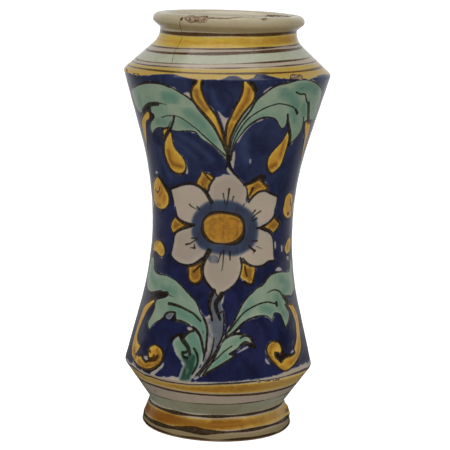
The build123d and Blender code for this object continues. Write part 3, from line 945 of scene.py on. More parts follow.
# Colour, shapes, half width of the ink outline, how far the colour grows past its shape (or draws
# back, where this is negative) and the most depth that it gets
MOTIFS = [
    ("copper", LEAVES, 0.6, 0, Chart.far),
    ("copper", [LEAF_EDGE_LEFT, LEAF_EDGE_RIGHT, LEAF_LOWER_CENTRE], 0, 0, Chart.far),
    ("ochre", YELLOWS, 0.88, 0, Chart.far),
    ("ochre", [FLOWER_DISC], 1.1, 0, Chart.far),
    ("burnt", SEPALS, 0, -1.0, Chart.far),
    ("burnt", [FLOWER_DISC], 0, 0, 1.0),
    ("wash", [FLOWER_RING], 0, 0, Chart.far),
    ("mauve", [STEM, PETAL_SHADE, BLUE_TIP], 0, 0, Chart.far),
    ("bare_white", PETALS + WHITE_GAPS, 0, 0, Chart.far),
    ("greyed", GREYED_PETALS, 0, 0, Chart.far),
]
stalk_outline = 0.92
line_weight = 1.18


def paint_motifs(chart):
    """Lays every traced motif of the barrel on its chart."""
    for colour, shapes, outline, grow, most in MOTIFS:
        for number, shape in enumerate(shapes):
            for azimuth, run in traced(shape, True):
                chart.area(colour, azimuth, run, grow, most)
                if outline:
                    swing = outline * (1 + 0.45 * wave(number + 11, azimuth, run, 25))
                    chart.stroke("ink", azimuth, run, swing, True)
    for shape in STALKS:
        for azimuth, run in traced(shape):
            chart.area("ochre", azimuth, run)
            chart.stroke("ink", azimuth, run, stalk_outline)
    for start, end, points in LINES:
        for azimuth, run in traced(points):
            chart.stroke("ink", azimuth, run, np.linspace(start, end, len(run)) * line_weight)
    for colour, touches in (
        ("burnt", BURNT_TOUCHES),
        ("deep_green", DEEP_GREEN_TOUCHES),
        ("brushed", THIN_STROKES),
    ):
        for half, points in touches:
            for azimuth, run in traced(points):
                chart.stroke(colour, azimuth, run, half)


# How many points make each shape of the unseen sides, and their rosette's height with the wall's
# radius there
blob_points = 72
tendril_points = 40
stamen_points = 12
rosette_height = 152
rosette_wall = 42.5


def blob(azimuth, height, wide, tall, petals=0, depth=0.0, tip=0.0, turn=0.0):
    """A closed shape round a point of the wall: an oval with this many petals, or with one end
    drawn out to a tip, upwards where tip is positive."""
    angle = np.linspace(0, 2 * math.pi, blob_points, endpoint=False)
    reach = 1 + depth * np.cos(petals * angle + turn)
    across = wide * reach * np.cos(angle)
    up = tall * reach * np.sin(angle)
    across = across * (1 - 0.55 * np.sign(tip) * np.sin(angle)) if tip else across
    up = up + np.where(np.sin(angle) * tip > 0, tip * np.abs(np.sin(angle)) ** 3, 0)
    return azimuth + across / outside_radius(height), outside_run(height) + up


def paint_sides(chart):
    """The unseen sides between the front and the back: hanging and standing drops, a rosette,
    buds and thin tendrils in the hand and colours of the front."""
    for side in (-1, 1):
        middle = side * math.radians(90)
        leaning = middle + side * 0.03
        for colour, shape, outline in (
            ("ochre", blob(middle, 205, 4.6, 8.5, tip=11), 0.6),
            ("bare_white", blob(leaning, rosette_height, 11.5, 11.5, 4, 0.3, turn=side * 0.5), 0.55),
            ("ochre", blob(leaning, rosette_height, 4.6, 4.6, 5, 0.08), 0.8),
            ("copper", blob(middle - side * 0.15, 128.5, 3.2, 5.0, tip=7), 0.5),
            ("copper", blob(middle + side * 0.17, 127, 3.2, 5.0, tip=7), 0.5),
            ("ochre", blob(middle, 176, 3.0, 3.4, tip=4), 0.5),
            ("ochre", blob(leaning, 69, 4.4, 7.5, tip=-9), 0.6),
        ):
            chart.area(colour, *shape)
            chart.stroke("ink", *shape, outline * (1 + 0.4 * wave(83, *shape, 20)), True)
        along = np.linspace(0, 1, tendril_points)
        for start, end, bow in ((141, 118, 0.02), (118, 104, 0.10), (118, 104, -0.10)):
            azimuth = middle + bow * side * np.sin(along * math.pi * 0.8)
            run = outside_run(start + (end - start) * along)
            chart.stroke("ink", azimuth, run, np.linspace(0.8, 0.4, tendril_points))
        for turn in np.arange(8) * math.pi / 4 + 0.3:
            reach = np.linspace(5.4, 8.4, stamen_points)
            azimuth = leaning + reach * math.cos(turn) / rosette_wall
            run = outside_run(rosette_height) + reach * math.sin(turn)
            chart.stroke("ink", azimuth, run, np.linspace(0.25, 0.5, stamen_points))


# The blue field lies between its traced edges and leaves a gap round every motif. The yellow
# above it runs on a little under its edge.
MOTIF_COLOURS = ("copper", "ochre", "wash", "mauve", "bare_white")
field_overlap = 0.8
leaf_gap = 0.2
motif_gap = 0.05
least_foot_gap = 0.5
field_top = edge_heights(FIELD_TOP)
field_bottom = edge_heights(FIELD_BOTTOM)
blue_foot = np.maximum(edge_heights(BLUE_FOOT), field_bottom + least_foot_gap)
barrel = charts["barrel"]
paint_motifs(barrel)
paint_sides(barrel)
barrel.value["bare_white"] = np.minimum(barrel.value["bare_white"], -leaf_gap - barrel.value["copper"])
reserved = np.max([barrel.value[name] for name in MOTIF_COLOURS], axis=0)
barrel.band("cobalt", blue_foot, field_top)
barrel.value["cobalt"] = np.minimum(barrel.value["cobalt"], -reserved - motif_gap)
barrel.value["wash"] = np.minimum(barrel.value["wash"], -barrel.value["ochre"])
barrel.raise_to("ochre", barrel.height[:, None] - field_top[None, :] + field_overlap)
charts["shoulder"].band("cobalt", field_bottom, field_top)
for chart in charts.values():
    chart.ring("ink", field_bottom, 0.62 + 0.25 * waver(5, 40))

# Brush lines round the jar: the level's row, tilt, seed and wobble, then the half width with how
# far it swings, and the seed and length of that swing's waves
SHOULDER_LINES = {
    "under the lip": ((35.0, 1.45, 1), 1.14, 0.25, 21, 50),
    "under the yellow": ((49.2, 2.0, 3), 0.6, 0.28, 22, 40),
    "thick, over the grey-green": ((53.6, 2.4, 4), 1.12, 0.3, 23, 40),
    "fine, under the grey-green": ((64.1, 2.5, 6), 0.48, 0.3, 24, 30),
    "second fine line": ((68.2, 2.1, 7), 0.4, 0.26, 25, 30),
    "on the lower yellow": ((73.6, 1.4, 8), 0.66, 0.25, 26, 45),
}
FOOT_LINES = {
    "thick, under the heel's ochre": ((395.4, -0.1, 31), 1.08, 0.25, 41, 40),
    "olive, over the grey-green": ((404.4, 1.4, 32), 0.52, 0.22, 42, 35),
    "in the groove": ((416.6, 1.2, 33), 0.98, 0.3, 43, 30),
    "dark, under the orange": ((432.2, 1.0, 35, 0.3), 1.3, 0.7, 44, 35),
    "at the standing edge": ((439.8, 0.2, 36), 0.95, 0.6, 45, 25),
}

# Bands between a lower and an upper level
SHOULDER_BANDS = [
    ("ochre", level(48.2, 2.0, 3), level(36.8, 1.5, 2)),
    ("celadon", level(63.6, 2.5, 6), level(55.0, 2.4, 4)),
    ("ochre", field_top - field_overlap, level(69.2, 2.0, 7)),
    # Under the lip's bulge the glaze is thicker, and painted shade darkens it there as well
    ("thick", level(33.0, 0, 27), level(23.0, 0.6, 28)),
]
FOOT_BANDS = [
    ("ochre", level(393.6, 0.0, 31), field_bottom - 0.9),
    ("celadon", level(414.6, 1.2, 33), level(404.4, 1.4, 32)),
    ("ochre", level(430.5, 1.1, 35, 0.3), level(418.8, 0.9, 34, 0.3)),
]
for names, lines, bands in (
    (("shoulder", "lip"), SHOULDER_LINES, SHOULDER_BANDS),
    (("barrel", "heel", "foot"), FOOT_LINES, FOOT_BANDS),
):
    for chart in [charts[name] for name in names]:
        for place, half, swing, seed, size in lines.values():
            chart.ring("ink", level(*place), half + swing * waver(seed, size))
        for colour, low, high in bands:
            chart.band(colour, low, high)

# The yellow burnt in the kiln on the neck's band at the right, on the heel's band at the front and
# on the foot at the left. The brush ran dry at the heel's sides and on the foot at the right.
neck_band_height = 250
heel_band_height = 44
for name in ("shoulder", "lip"):
    chart = charts[name]
    neck_burn = np.clip(np.sin(around) * 1.6 - 0.4, -1, 1) * (np.cos(around) > -0.2)
    over_band = np.minimum(chart.value["ochre"], 2) + 1.1 * neck_burn[None, :] - 2.3
    chart.raise_to("burnt", np.where(chart.height[:, None] > neck_band_height, over_band, -Chart.far))
for name in ("barrel", "heel"):
    chart = charts[name]
    low = chart.height[:, None] < heel_band_height
    chart.raise_to("brushed", np.where(low, 4.5 * np.abs(np.sin(around))[None, :] - 2.6, -Chart.far))
    near_edge = np.minimum(chart.value["ochre"], 2) + 1.25 * np.cos(around)[None, :] - 2.6
    chart.raise_to("burnt", np.where(low, near_edge, -Chart.far))
foot = charts["foot"]
foot.raise_to("brushed", 4.5 * np.sin(around)[None, :] - 3.2)
foot_burn = np.clip(-1.3 * np.sin(around) + 0.1, -1.4, 1)
foot.raise_to("burnt", np.minimum(foot.value["ochre"], 2) + 1.5 * foot_burn[None, :] - 2.0)

# Damage, traced from the photograph: chips as half width and line, and single marks
WALL_CHIPS = [
    (0.7, [(125, 68), (126, 71)]),
    (1.5, [(188, 20), (194, 20.8), (200, 20.6)]),
    (0.5, [(136, 59.5), (137, 60.5)]),
    (1.5, [(292.5, 77), (297, 76.8), (300, 77.6)]),
    (1.2, [(257.5, 380.5), (259, 381.5)]),
    (0.9, [(266, 381), (270, 381)]),
    (0.9, [(274, 380), (279, 380)]),
    (1.1, [(285.2, 403), (286, 406), (285.6, 410)]),
]
CREST_CHIPS = [
    (1.9, [(186, 16.6), (191, 16.2), (198, 15.9), (204, 16.2)]),
    (0.5, [(206, 16.3), (215, 16.5), (225, 16.7), (240, 16.9), (255, 17), (264, 16.8), (268, 15.6),
           (276, 15.8), (284, 15.8), (292, 15.2), (298, 14.3)]),
    (0.8, [(262, 17.8), (266, 17.5)]),
    (0.8, [(283, 16.8), (285, 16.8)]),
    (0.9, [(292, 15.2), (295, 15)]),
    (0.6, [(156, 12), (159, 11.6)]),
]
HAIRLINE = [
    (182, 18.5), (179.8, 22), (180.6, 29), (182.3, 33), (182, 37), (179.8, 42.5), (176.4, 48.5),
    (173.8, 53), (172.5, 60), (172, 64),
]
CHIP_EDGE = [
    (290.3, 79), (290.8, 75.8), (293.5, 74.8), (297, 75.4), (300.5, 75), (302, 77.3), (299.8, 79.8),
    (296.5, 79.2), (293, 80.6), (290.3, 79),
]
STAIN = [(171, 58), (168, 62), (166, 66)]
SMEAR = [(174, 427), (184, 428.7), (193, 429.8), (201, 431.4), (208, 432.5), (214, 433)]
HAIRLINE_START = [(181.5, 18), (182.5, 17.6)]
HEEL_SPECK = [(155, 390.6), (155.4, 391)]


def paint_damage():
    """Chips, specks, the hairline crack, a stain and a smear, where the photograph shows them."""
    marks = []
    for carry, chips in ((onto_wall, WALL_CHIPS), (onto_crest, CREST_CHIPS)):
        for half, points in chips:
            azimuth, run = carry(smooth_line(points, False))
            marks.append(("chip", azimuth, run, half * (1 + 0.5 * wave(71, azimuth, run, 6))))
    for colour, points, half in (("ink", HAIRLINE, 0.24), ("ink", CHIP_EDGE, 0.5), ("burnt", STAIN, 1.6)):
        marks.append((colour, *onto_wall(smooth_line(points, False)), half))
    azimuth, run = onto_wall(smooth_line(SMEAR, False))
    marks.append(("ink", azimuth, run, 0.3 + 2.2 * np.sin(np.linspace(0.2, 3.0, len(run)))))
    marks.append(("ink", *onto_crest(HAIRLINE_START), 0.9))
    marks.append(("ink", *onto_wall(HEEL_SPECK), 0.6))
    for chart in charts.values():
        for mark in marks:
            chart.stroke(*mark)


paint_damage()

# Relief: the thrown wall wanders a little, paint and chips stand slightly above and below the
# glaze, a kiln scar swells the foot at the right and the lip stands a little higher at the front.
# Lengths are in millimetres, and scar_wall is the wall's radius at the scar.
slow_wander = 0.10
quick_wander = 0.05
throwing_rings = 0.035
paint_rise = 0.05
chip_depth = 0.34
deepest = 0.4
scar_azimuth = math.radians(79)
scar_wall = 49
scar_height = 11.5
scar_rise = 2.4
scar_half_width = 4.2
scar_half_height = 5.0


def relief(chart):
    """How far the surface stands out from the turned wall at every grid point: slow and quick
    waves, throwing rings as a sine of the length along the wall, the paint's rise, the chips'
    depth, the lip's rise as a cosine of the azimuth, and the scar as a flat-topped bell."""
    azimuth, run = chart.azimuth[None, :], chart.run[:, None]
    out = slow_wander * wave(61, azimuth, run, 90) + quick_wander * wave(62, azimuth, run, 26)
    depth = 0.6 + 0.4 * wave(63, azimuth, run, 60)
    out = out + throwing_rings * np.sin(run / 1.9 + 0.7 * np.sin(azimuth)) * depth
    out = out + paint_rise * np.clip(chart.value["ink"] / 0.4, 0, 1)
    out = out - chip_depth * np.clip(chart.value["chip"] / 0.5 + 0.2, 0, 1)
    above = np.clip((chart.height[:, None] - lip_foot) / (WALL[CREST][1] - lip_foot), 0, 1)
    out = out + lip_rise * above * np.clip(chart.normal_z[:, None], 0, 1) * np.clip(np.cos(azimuth), 0, 1)
    gap_around = (azimuth - scar_azimuth) * scar_wall / scar_half_width
    gap_up = (chart.height[:, None] - scar_height) / scar_half_height
    out = out + scar_rise * np.exp(-gap_around ** 2 - gap_up ** 4)
    return np.clip(out, -deepest, scar_rise)


def turned(radius, height, azimuth):
    """Points at these radii, heights and azimuths, spread over one shape."""
    radius, height, azimuth = np.broadcast_arrays(radius, height, azimuth)
    return np.stack([radius * np.sin(azimuth), -radius * np.cos(azimuth), height], -1)


def grid_faces(rows, columns, offset=0, flip=False):
    """The four corners of each cell of a grid of points laid out row by row."""
    corner = (np.arange(rows - 1)[:, None] * columns + np.arange(columns - 1)[None, :]).ravel() + offset
    order = [corner, corner + 1, corner + columns + 1, corner + columns]
    return np.stack(order[::-1] if flip else order, 1)


def float_layer(mesh, name, values):
    """One number per point, for the materials to read."""
    layer = mesh.attributes.new(name, "FLOAT", "POINT")
    layer.data.foreach_set("value", values.astype(np.float32))


def whole_numbers(items, field, count):
    """One or more whole numbers of every edge, corner or face of a mesh."""
    numbers = np.empty(len(items) * count, np.int32)
    items.foreach_get(field, numbers)
    return numbers


def sharp_rims(mesh, rim_points):
    """Marks as sharp the edges that lie along the rims of a shell."""
    ends = whole_numbers(mesh.edges, "vertices", 2)
    layer = mesh.attributes.new("sharp_edge", "BOOLEAN", "EDGE")
    layer.data.foreach_set("value", rim_points[ends].reshape(-1, 2).all(1))


# Where the two skins of a shell lie on its texture map, as shares of the square
map_edge = 0.01
front_share = 0.88
back_start = 0.91
back_share = 0.08
tall_share = 0.98


def bake_map(mesh, across, up, is_front):
    """A texture map for a shell: the front skin fills the left nine tenths of the square and the
    back skin the rest, so the painting keeps nearly all the detail."""
    layer = mesh.uv_layers.new(name="OFBake")
    corners = whole_numbers(mesh.loops, "vertex_index", 1)
    starts = whole_numbers(mesh.polygons, "loop_start", 1)
    totals = whole_numbers(mesh.polygons, "loop_total", 1)
    face_front = np.minimum.reduceat(is_front[corners].astype(int), starts).astype(bool)
    front = np.repeat(face_front, totals)
    across = across[corners]
    u = np.where(front, map_edge + front_share * across, back_start + back_share * across)
    v = map_edge + tall_share * up[corners]
    layer.data.foreach_set("uv", np.stack([u, v], 1).astype(np.float32).ravel())


def new_piece(name, places, quads):
    """A mesh object of four-cornered faces at the origin, from points in millimetres. A face
    whose second and third corners are the same becomes a triangle."""
    same = quads[:, 1] == quads[:, 2]
    triangles = quads[same][:, [0, 1, 3]]
    whole = quads[~same]
    mesh = bpy.data.meshes.new(name)
    mesh.vertices.add(len(places))
    mesh.vertices.foreach_set("co", (places * MM).astype(np.float32).ravel())
    corners = np.append(whole.ravel(), triangles.ravel())
    mesh.loops.add(len(corners))
    mesh.loops.foreach_set("vertex_index", corners.astype(np.int32))
    mesh.polygons.add(len(whole) + len(triangles))
    starts = np.append(np.arange(len(whole)) * 4, len(whole) * 4 + np.arange(len(triangles)) * 3)
    mesh.polygons.foreach_set("loop_start", starts.astype(np.int32))
    mesh.polygons.foreach_set("use_smooth", np.full(len(starts), True))
    mesh.update(calc_edges=True)
    piece = bpy.data.objects.new(name, mesh)
    bpy.context.scene.collection.objects.link(piece)
    return piece


def grid_shares(rows, columns):
    """How far across and how far up each point of a grid lies, from 0 to 1."""
    across = np.tile(np.linspace(0, 1, columns), rows)
    return across, np.repeat(np.linspace(0, 1, rows), columns)


def glaze_shell(chart, swell, name, first_column, last_column):
    """One sector of a glaze coat as a closed shell. The outer skin is the chart's grid, each
    point moved out along the wall's normal by the swell. The inner skin lies a coat's thickness
    behind it on the same grid lines, thinned out, and strips close the four sides."""
    columns = np.arange(first_column, last_column + 1)
    azimuth = chart.azimuth[columns][None, :]
    out = swell[:, columns]
    rows, width = out.shape
    outer = turned(
        chart.radius[:, None] + out * chart.normal_r[:, None],
        chart.height[:, None] + out * chart.normal_z[:, None],
        azimuth,
    )
    every_row = np.unique(np.linspace(0, rows - 1, min(inner_rows, rows)).round().astype(int))
    every_column = np.unique(np.linspace(0, width - 1, inner_columns).round().astype(int))
    inner = turned(
        (chart.radius - coat * chart.normal_r)[every_row][:, None],
        (chart.height - coat * chart.normal_z)[every_row][:, None],
        azimuth[:, every_column],
    )
    outer_count = rows * width
    outer_index = np.arange(outer_count).reshape(rows, width)
    inner_index = np.arange(inner[..., 0].size).reshape(inner.shape[:2]) + outer_count
    faces = [grid_faces(rows, width), grid_faces(*inner.shape[:2], outer_count, True)]
    places = np.concatenate([outer.reshape(-1, 3), inner.reshape(-1, 3)])
    rim = np.zeros(len(places), bool)
    for fine, rough, kept, flip in (
        (outer_index[0], inner_index[0], every_column, False),
        (outer_index[-1], inner_index[-1], every_column, True),
        (outer_index[:, 0], inner_index[:, 0], every_row, True),
        (outer_index[:, -1], inner_index[:, -1], every_row, False),
    ):
        nearest = np.clip(np.searchsorted(kept, np.arange(len(fine)), side="right") - 1, 0, len(kept) - 1)
        back = rough[nearest]
        strip = np.stack([fine[:-1], back[:-1], back[1:], fine[1:]], 1)
        faces.append(strip[:, ::-1] if flip else strip)
        rim[fine] = True
        rim[rough] = True
    piece = new_piece(name, places, np.concatenate(faces))
    unpainted = np.full(len(places) - outer_count, -chart.far)
    for colour, value in chart.value.items():
        float_layer(piece.data, colour, np.append(value[:, columns].ravel(), unpainted))
    sharp_rims(piece.data, rim)
    outer_shares = grid_shares(rows, width)
    inner_shares = grid_shares(*inner.shape[:2])
    across, up = (np.append(front, back) for front, back in zip(outer_shares, inner_shares))
    bake_map(piece.data, across, up, np.arange(len(places)) < outer_count)
    return piece


# Paints and clays, tuned until the render looked like the photograph: red, green and blue from 0
# to 255 as a picture shows them
PAINTS = {
    "tin glaze": (157, 144, 127),
    "tin glaze, shaded": (149, 137, 120),
    "tin glaze, pinkish": (154, 136, 124),
    "pinhole": (112, 96, 72),
    # Greyer white on the top, lower left and bottom petals
    "dull petal": (118, 108, 98),
    "lip": (162, 152, 126),
    "lip, shaded": (152, 140, 116),
    # The lip's underside: thicker glaze and painted shade together
    "lip, thick glaze": (132, 118, 87),
    # Painted light: the inside of the mouth painted paler against the shade that falls in it
    "mouth": (181, 174, 155),
    "foot's base": (123, 109, 78),
    "grey-green": (152, 156, 136),
    "grey-green, shaded": (142, 147, 126),
    "low grey-green": (124, 127, 104),
    "low grey-green, shaded": (117, 116, 92),
    "low grey-green, thin": (152, 154, 136),
    "copper green": (125, 137, 116),
    "copper green, shaded": (104, 125, 107),
    "copper green, pooled": (76, 110, 94),
    "copper green, darkest": (22, 52, 40),
    "copper green, streaked": (96, 124, 104),
    "copper green, thin": (144, 150, 132),
    "yellow": (184, 150, 62),
    "yellow, shaded": (171, 136, 48),
    "pale yellow": (179, 153, 68),
    "pale yellow, shaded": (170, 142, 54),
    "orange": (175, 129, 42),
    "orange, shaded": (160, 109, 30),
    "foot's orange": (126, 82, 26),
    "yellow's heart": (168, 122, 40),
    "greenish yellow": (148, 124, 58),
    "burnt yellow": (143, 94, 28),
    "burnt yellow, shaded": (108, 68, 22),
    "foot's burnt orange": (112, 66, 18),
    "darkest burn": (86, 55, 24),
    "yellow, thin": (178, 154, 96),
    "yellow's rim": (168, 150, 100),
    "blue wash": (16, 29, 53),
    "blue wash, streaked": (35, 50, 74),
    "blue wash, thin": (66, 78, 95),
    "mauve": (51, 65, 77),
    "mauve, streaked": (77, 85, 92),
    "mauve, pale": (110, 108, 103),
    "mauve, thin": (138, 134, 124),
    "mauve, bluish": (60, 70, 92),
    "cobalt haze": (108, 120, 130),
    "cobalt": (18, 19, 44),
    "cobalt, lighter": (27, 31, 62),
    "upper cobalt": (22, 26, 50),
    "upper cobalt, lighter": (36, 43, 69),
    "cobalt, streaked": (48, 60, 98),
    "cobalt, greenish": (34, 56, 74),
    "cobalt, brushed out": (50, 62, 92),
    "cobalt, thin": (78, 84, 112),
    "manganese": (19, 14, 9),
    "manganese, thin": (36, 26, 13),
    "manganese on yellow": (74, 44, 14),
    "manganese on the bands": (66, 40, 6),
    "manganese on the foot": (28, 18, 6),
    "chipped clay": (146, 128, 102),
    "chipped clay, dirty": (92, 70, 50),
    "chip's edge": (66, 46, 32),
    "inside": (200, 191, 167),
    "inside, shaded": (188, 177, 150),
    "inside, stained": (146, 122, 90),
    "inside pinhole": (104, 80, 56),
    "buff clay": (196, 160, 124),
    "pink clay": (178, 136, 102),
    "grit": (120, 84, 60),
    "dirt": (104, 86, 70),
    "worn clay": (92, 72, 54),
}

# Heights in metres between which a look comes in: above the shoulder's edge, below the heel's,
# and down to the foot
ABOVE_SHOULDER = (0.243, 0.247)
BELOW_HEEL = (0.045, 0.041)
DOWN_TO_FOOT = (0.05, 0.018)


def tone(paint):
    """A paint turned into linear light."""
    shares = np.array(PAINTS[paint]) / 255
    linear = np.where(shares <= 0.04045, shares / 12.92, ((shares + 0.055) / 1.055) ** 2.4)
    return (*linear.tolist(), 1.0)


class Nodes:
    """Short ways to add nodes to a tree, which is emptied first."""

    def __init__(self, tree):
        self.tree = tree
        tree.nodes.clear()

    def add(self, kind, inputs=(), **settings):
        """A new node with these settings. Each of its inputs named here is linked to an output,
        or set to a plain value or a named paint."""
        node = self.tree.nodes.new(kind)
        for name, value in settings.items():
            setattr(node, name, value)
        for place, value in dict(inputs).items():
            if isinstance(value, bpy.types.NodeSocket):
                self.tree.links.new(value, node.inputs[place])
            else:
                node.inputs[place].default_value = tone(value) if isinstance(value, str) else value
        return node

    def arithmetic(self, operation, first, second):
        """One step of arithmetic."""
        return self.add("ShaderNodeMath", {0: first, 1: second}, operation=operation).outputs[0]

    def plus(self, first, second):
        """The sum of two numbers."""
        return self.arithmetic("ADD", first, second)

    def minus(self, first, second):
        """The first number less the second."""
        return self.arithmetic("SUBTRACT", first, second)

    def times(self, first, second):
        """The product of two numbers."""
        return self.arithmetic("MULTIPLY", first, second)

    def greater(self, first, second):
        """The greater of two numbers."""
        return self.arithmetic("MAXIMUM", first, second)

    def swing(self, value, low, high, start, end, kind="LINEAR"):
        """Carries low..high over to start..end, in a straight line or another kind of step."""
        ends = {"Value": value, "From Min": low, "From Max": high, "To Min": start, "To Max": end}
        return self.add("ShaderNodeMapRange", ends, interpolation_type=kind).outputs["Result"]

    def between(self, value, low, high):
        """0 below low, 1 above high, and a soft step in between."""
        return self.swing(value, low, high, 0, 1, "SMOOTHSTEP")


class Shader(Nodes):
    """A material of one surface, with patterns that lie in the piece's own coordinates."""

    def __init__(self, name):
        self.material = bpy.data.materials.new(name)
        self.material.use_nodes = True
        super().__init__(self.material.node_tree)
        self.coordinates = self.add("ShaderNodeTexCoord").outputs["Object"]

    def stretched(self, scale):
        """The coordinates scaled along each axis."""
        node = self.add("ShaderNodeMapping", {"Scale": scale, "Vector": self.coordinates})
        return node.outputs[0]

    def height(self):
        """Height above the standing face in metres."""
        return self.add("ShaderNodeSeparateXYZ", {0: self.coordinates}).outputs[2]

    def reach(self):
        """Distance from the jar's axis in metres."""
        flat = self.stretched((1, 1, 0))
        return self.add("ShaderNodeVectorMath", {0: flat}, operation="LENGTH").outputs["Value"]

    def amount(self, name):
        """A number painted on the mesh."""
        return self.add("ShaderNodeAttribute", attribute_name=name).outputs["Fac"]

    def noise(self, size, detail=3.0, roughness=0.55, stretch=(1, 1, 1), warp=0.0):
        """Cloudy noise from 0 to 1, its patches about size millimetres across."""
        return self.add("ShaderNodeTexNoise", {
            "Vector": self.stretched(stretch),
            "Scale": 1 / (size * MM),
            "Detail": detail,
            "Roughness": roughness,
            "Distortion": warp,
        }).outputs["Fac"]

    def mix(self, share, first, second):
        """First colour where share is 0, second where it is 1."""
        colours = {0: share, 6: first, 7: second}
        return self.add("ShaderNodeMix", colours, data_type="RGBA", clamp_factor=True).outputs[2]

    def blend(self, under, over, value, low, high, most=None):
        """Goes from one colour to the other as the value goes from low to high, the second
        colour's share held under most."""
        share = self.between(value, low, high)
        return self.mix(share if most is None else self.times(share, most), under, over)

    def clouded(self, paint, value, low, high):
        """A paint that goes over to its shaded tone as the value goes from low to high."""
        return self.blend(paint, f"{paint}, shaded", value, low, high)

    def bump(self, height, strength, depth):
        """Small relief from a height between 0 and 1, depth in millimetres."""
        inputs = {"Strength": strength, "Distance": depth * MM, "Height": height}
        return self.add("ShaderNodeBump", inputs).outputs[0]

    def finish(self, colour, roughness, normal, **others):
        """The material, its surface given colour, roughness, relief and other inputs."""
        inputs = {"Base Color": colour, "Roughness": roughness, "Normal": normal, **others}
        surface = self.add("ShaderNodeBsdfPrincipled", inputs)
        self.add("ShaderNodeOutputMaterial", {"Surface": surface.outputs[0]})
        return self.material


class GlazeShader(Shader):
    """The shader of the painted glaze, with what its paints share: noises that wander an edge by
    fractions of a millimetre, ragged and softer, noises for tones, and painted amounts."""

    def __init__(self, name):
        super().__init__(name)
        self.up = self.height()
        self.ragged = self.swing(self.noise(1.3, 2.0), 0, 1, -0.28, 0.28)
        self.softer = self.swing(self.noise(4.0, 3.0), 0, 1, -0.6, 0.6)
        self.streak = self.noise(5.0, 4.0, 0.6, (1, 1, 0.35), 0.4)
        self.cloud = self.noise(13, 4.0, 0.6, (1, 1, 0.7), 0.6)
        self.fine = self.noise(2.2, 3.0)
        self.ochre = self.amount("ochre")
        self.brushed = self.soft("brushed", 2.0)
        self.thinned = self.between(self.brushed, -1.6, 2.2)
        below_heel = self.between(self.up, *BELOW_HEEL)
        self.bands = self.greater(self.between(self.up, *ABOVE_SHOULDER), below_heel)

    def soft(self, name, wander=1.0):
        """A painted amount whose edge wanders softly."""
        return self.plus(self.amount(name), self.times(self.softer, wander))


def tin_glaze(shader):
    """The bare tin glaze: warm grey-white, clouded, with pinkish areas and scattered pinholes."""
    colour = shader.clouded("tin glaze", shader.noise(26, 4), 0.35, 0.65)
    colour = shader.blend(colour, "tin glaze, pinkish", shader.noise(9, 3), 0.45, 0.75)
    return shader.blend(colour, "pinhole", shader.noise(1.6, 1.0), 0.70, 0.78, 0.35)


def plain_parts(shader, colour):
    """The lip's thick glaze and painted shade, painted light in the mouth, the foot's base, greyer petals.
    """
    # The top, lower left and bottom petals painted greyer
    colour = shader.blend(colour, "dull petal", shader.soft("greyed", 1.5), -1.0, 4.5, 0.42)
    lip = shader.clouded("lip", shader.cloud, 0.3, 0.7)
    colour = shader.blend(colour, lip, shader.up, 0.267, 0.27)
    # Under the lip's bulge: thicker glaze, and painted shade where the bulge faces down
    colour = shader.blend(colour, "lip, thick glaze", shader.soft("thick", 1.5), -2.6, 3.0, 0.74)
    # Painted light: the inside of the mouth is painted paler, lifting the shade that falls there
    colour = shader.blend(colour, "mouth", shader.reach(), 0.0435, 0.0405, 0.8)
    return shader.blend(colour, "foot's base", shader.up, 0.008, 0.004)


def grey_green(shader, colour):
    """The pale grey-green bands, duller and browner low on the jar."""
    high = shader.clouded("grey-green", shader.cloud, 0.35, 0.65)
    low = shader.clouded("low grey-green", shader.cloud, 0.35, 0.65)
    low = shader.mix(shader.times(shader.thinned, 0.7), low, "low grey-green, thin")
    band = shader.blend(low, high, shader.up, 0.05, 0.2)
    return shader.blend(colour, band, shader.soft("celadon"), -0.3, 0.5, 0.9)


def copper_green(shader, colour):
    """The leaves: green that pools darker in clouds and at the deep touches, thin at its edge."""
    amount = shader.amount("copper")
    deep = shader.soft("deep_green", 3.0)
    green = shader.clouded("copper green", shader.cloud, 0.3, 0.7)
    green = shader.blend(green, "copper green, pooled", deep, -3.4, 3.2, 0.8)
    green = shader.blend(green, "copper green, darkest", deep, 3.8, 6.0, 0.92)
    green = shader.blend(green, "copper green, streaked", shader.streak, 0.5, 0.8, 0.5)
    green = shader.blend(green, "copper green, thin", amount, 2.2, 0.3, 0.35)
    return shader.blend(colour, green, shader.plus(amount, shader.ragged), -0.2, 0.35)


def yellow_tone(shader):
    """Yellow that turns orange towards the heart of a shape and where the brush went over a band
    twice. It is paler above the shoulder and more orange on the foot."""
    up, ochre = shader.up, shader.ochre
    yellow = shader.clouded("yellow", shader.fine, 0.3, 0.7)
    pale = shader.clouded("pale yellow", shader.cloud, 0.3, 0.7)
    yellow = shader.blend(yellow, pale, up, *ABOVE_SHOULDER)
    orange = shader.clouded("orange", shader.streak, 0.35, 0.65)
    orange = shader.blend(orange, "foot's orange", up, *DOWN_TO_FOOT)
    heart = shader.plus(shader.between(ochre, 0.0, 6.0), shader.swing(shader.cloud, 0.3, 0.7, -0.5, 0.3))
    heart = shader.plus(heart, shader.times(shader.between(up, 0.026, 0.018), 0.5))
    heart = shader.minus(heart, shader.times(shader.between(up, *ABOVE_SHOULDER), 0.45))
    yellow = shader.mix(heart, yellow, orange)
    brushing = shader.between(shader.noise(5.0, 3.0, 0.6, (0.3, 0.3, 2.4)), 0.46, 0.7)
    yellow = shader.mix(shader.times(shader.times(shader.bands, brushing), 0.5), yellow, orange)
    yellow = shader.blend(yellow, "yellow's heart", ochre, 2.2, 6.5)
    lower_band = shader.times(shader.between(up, 0.2415, 0.243), shader.between(up, 0.2515, 0.25))
    return shader.mix(shader.times(lower_band, 0.75), yellow, "greenish yellow")


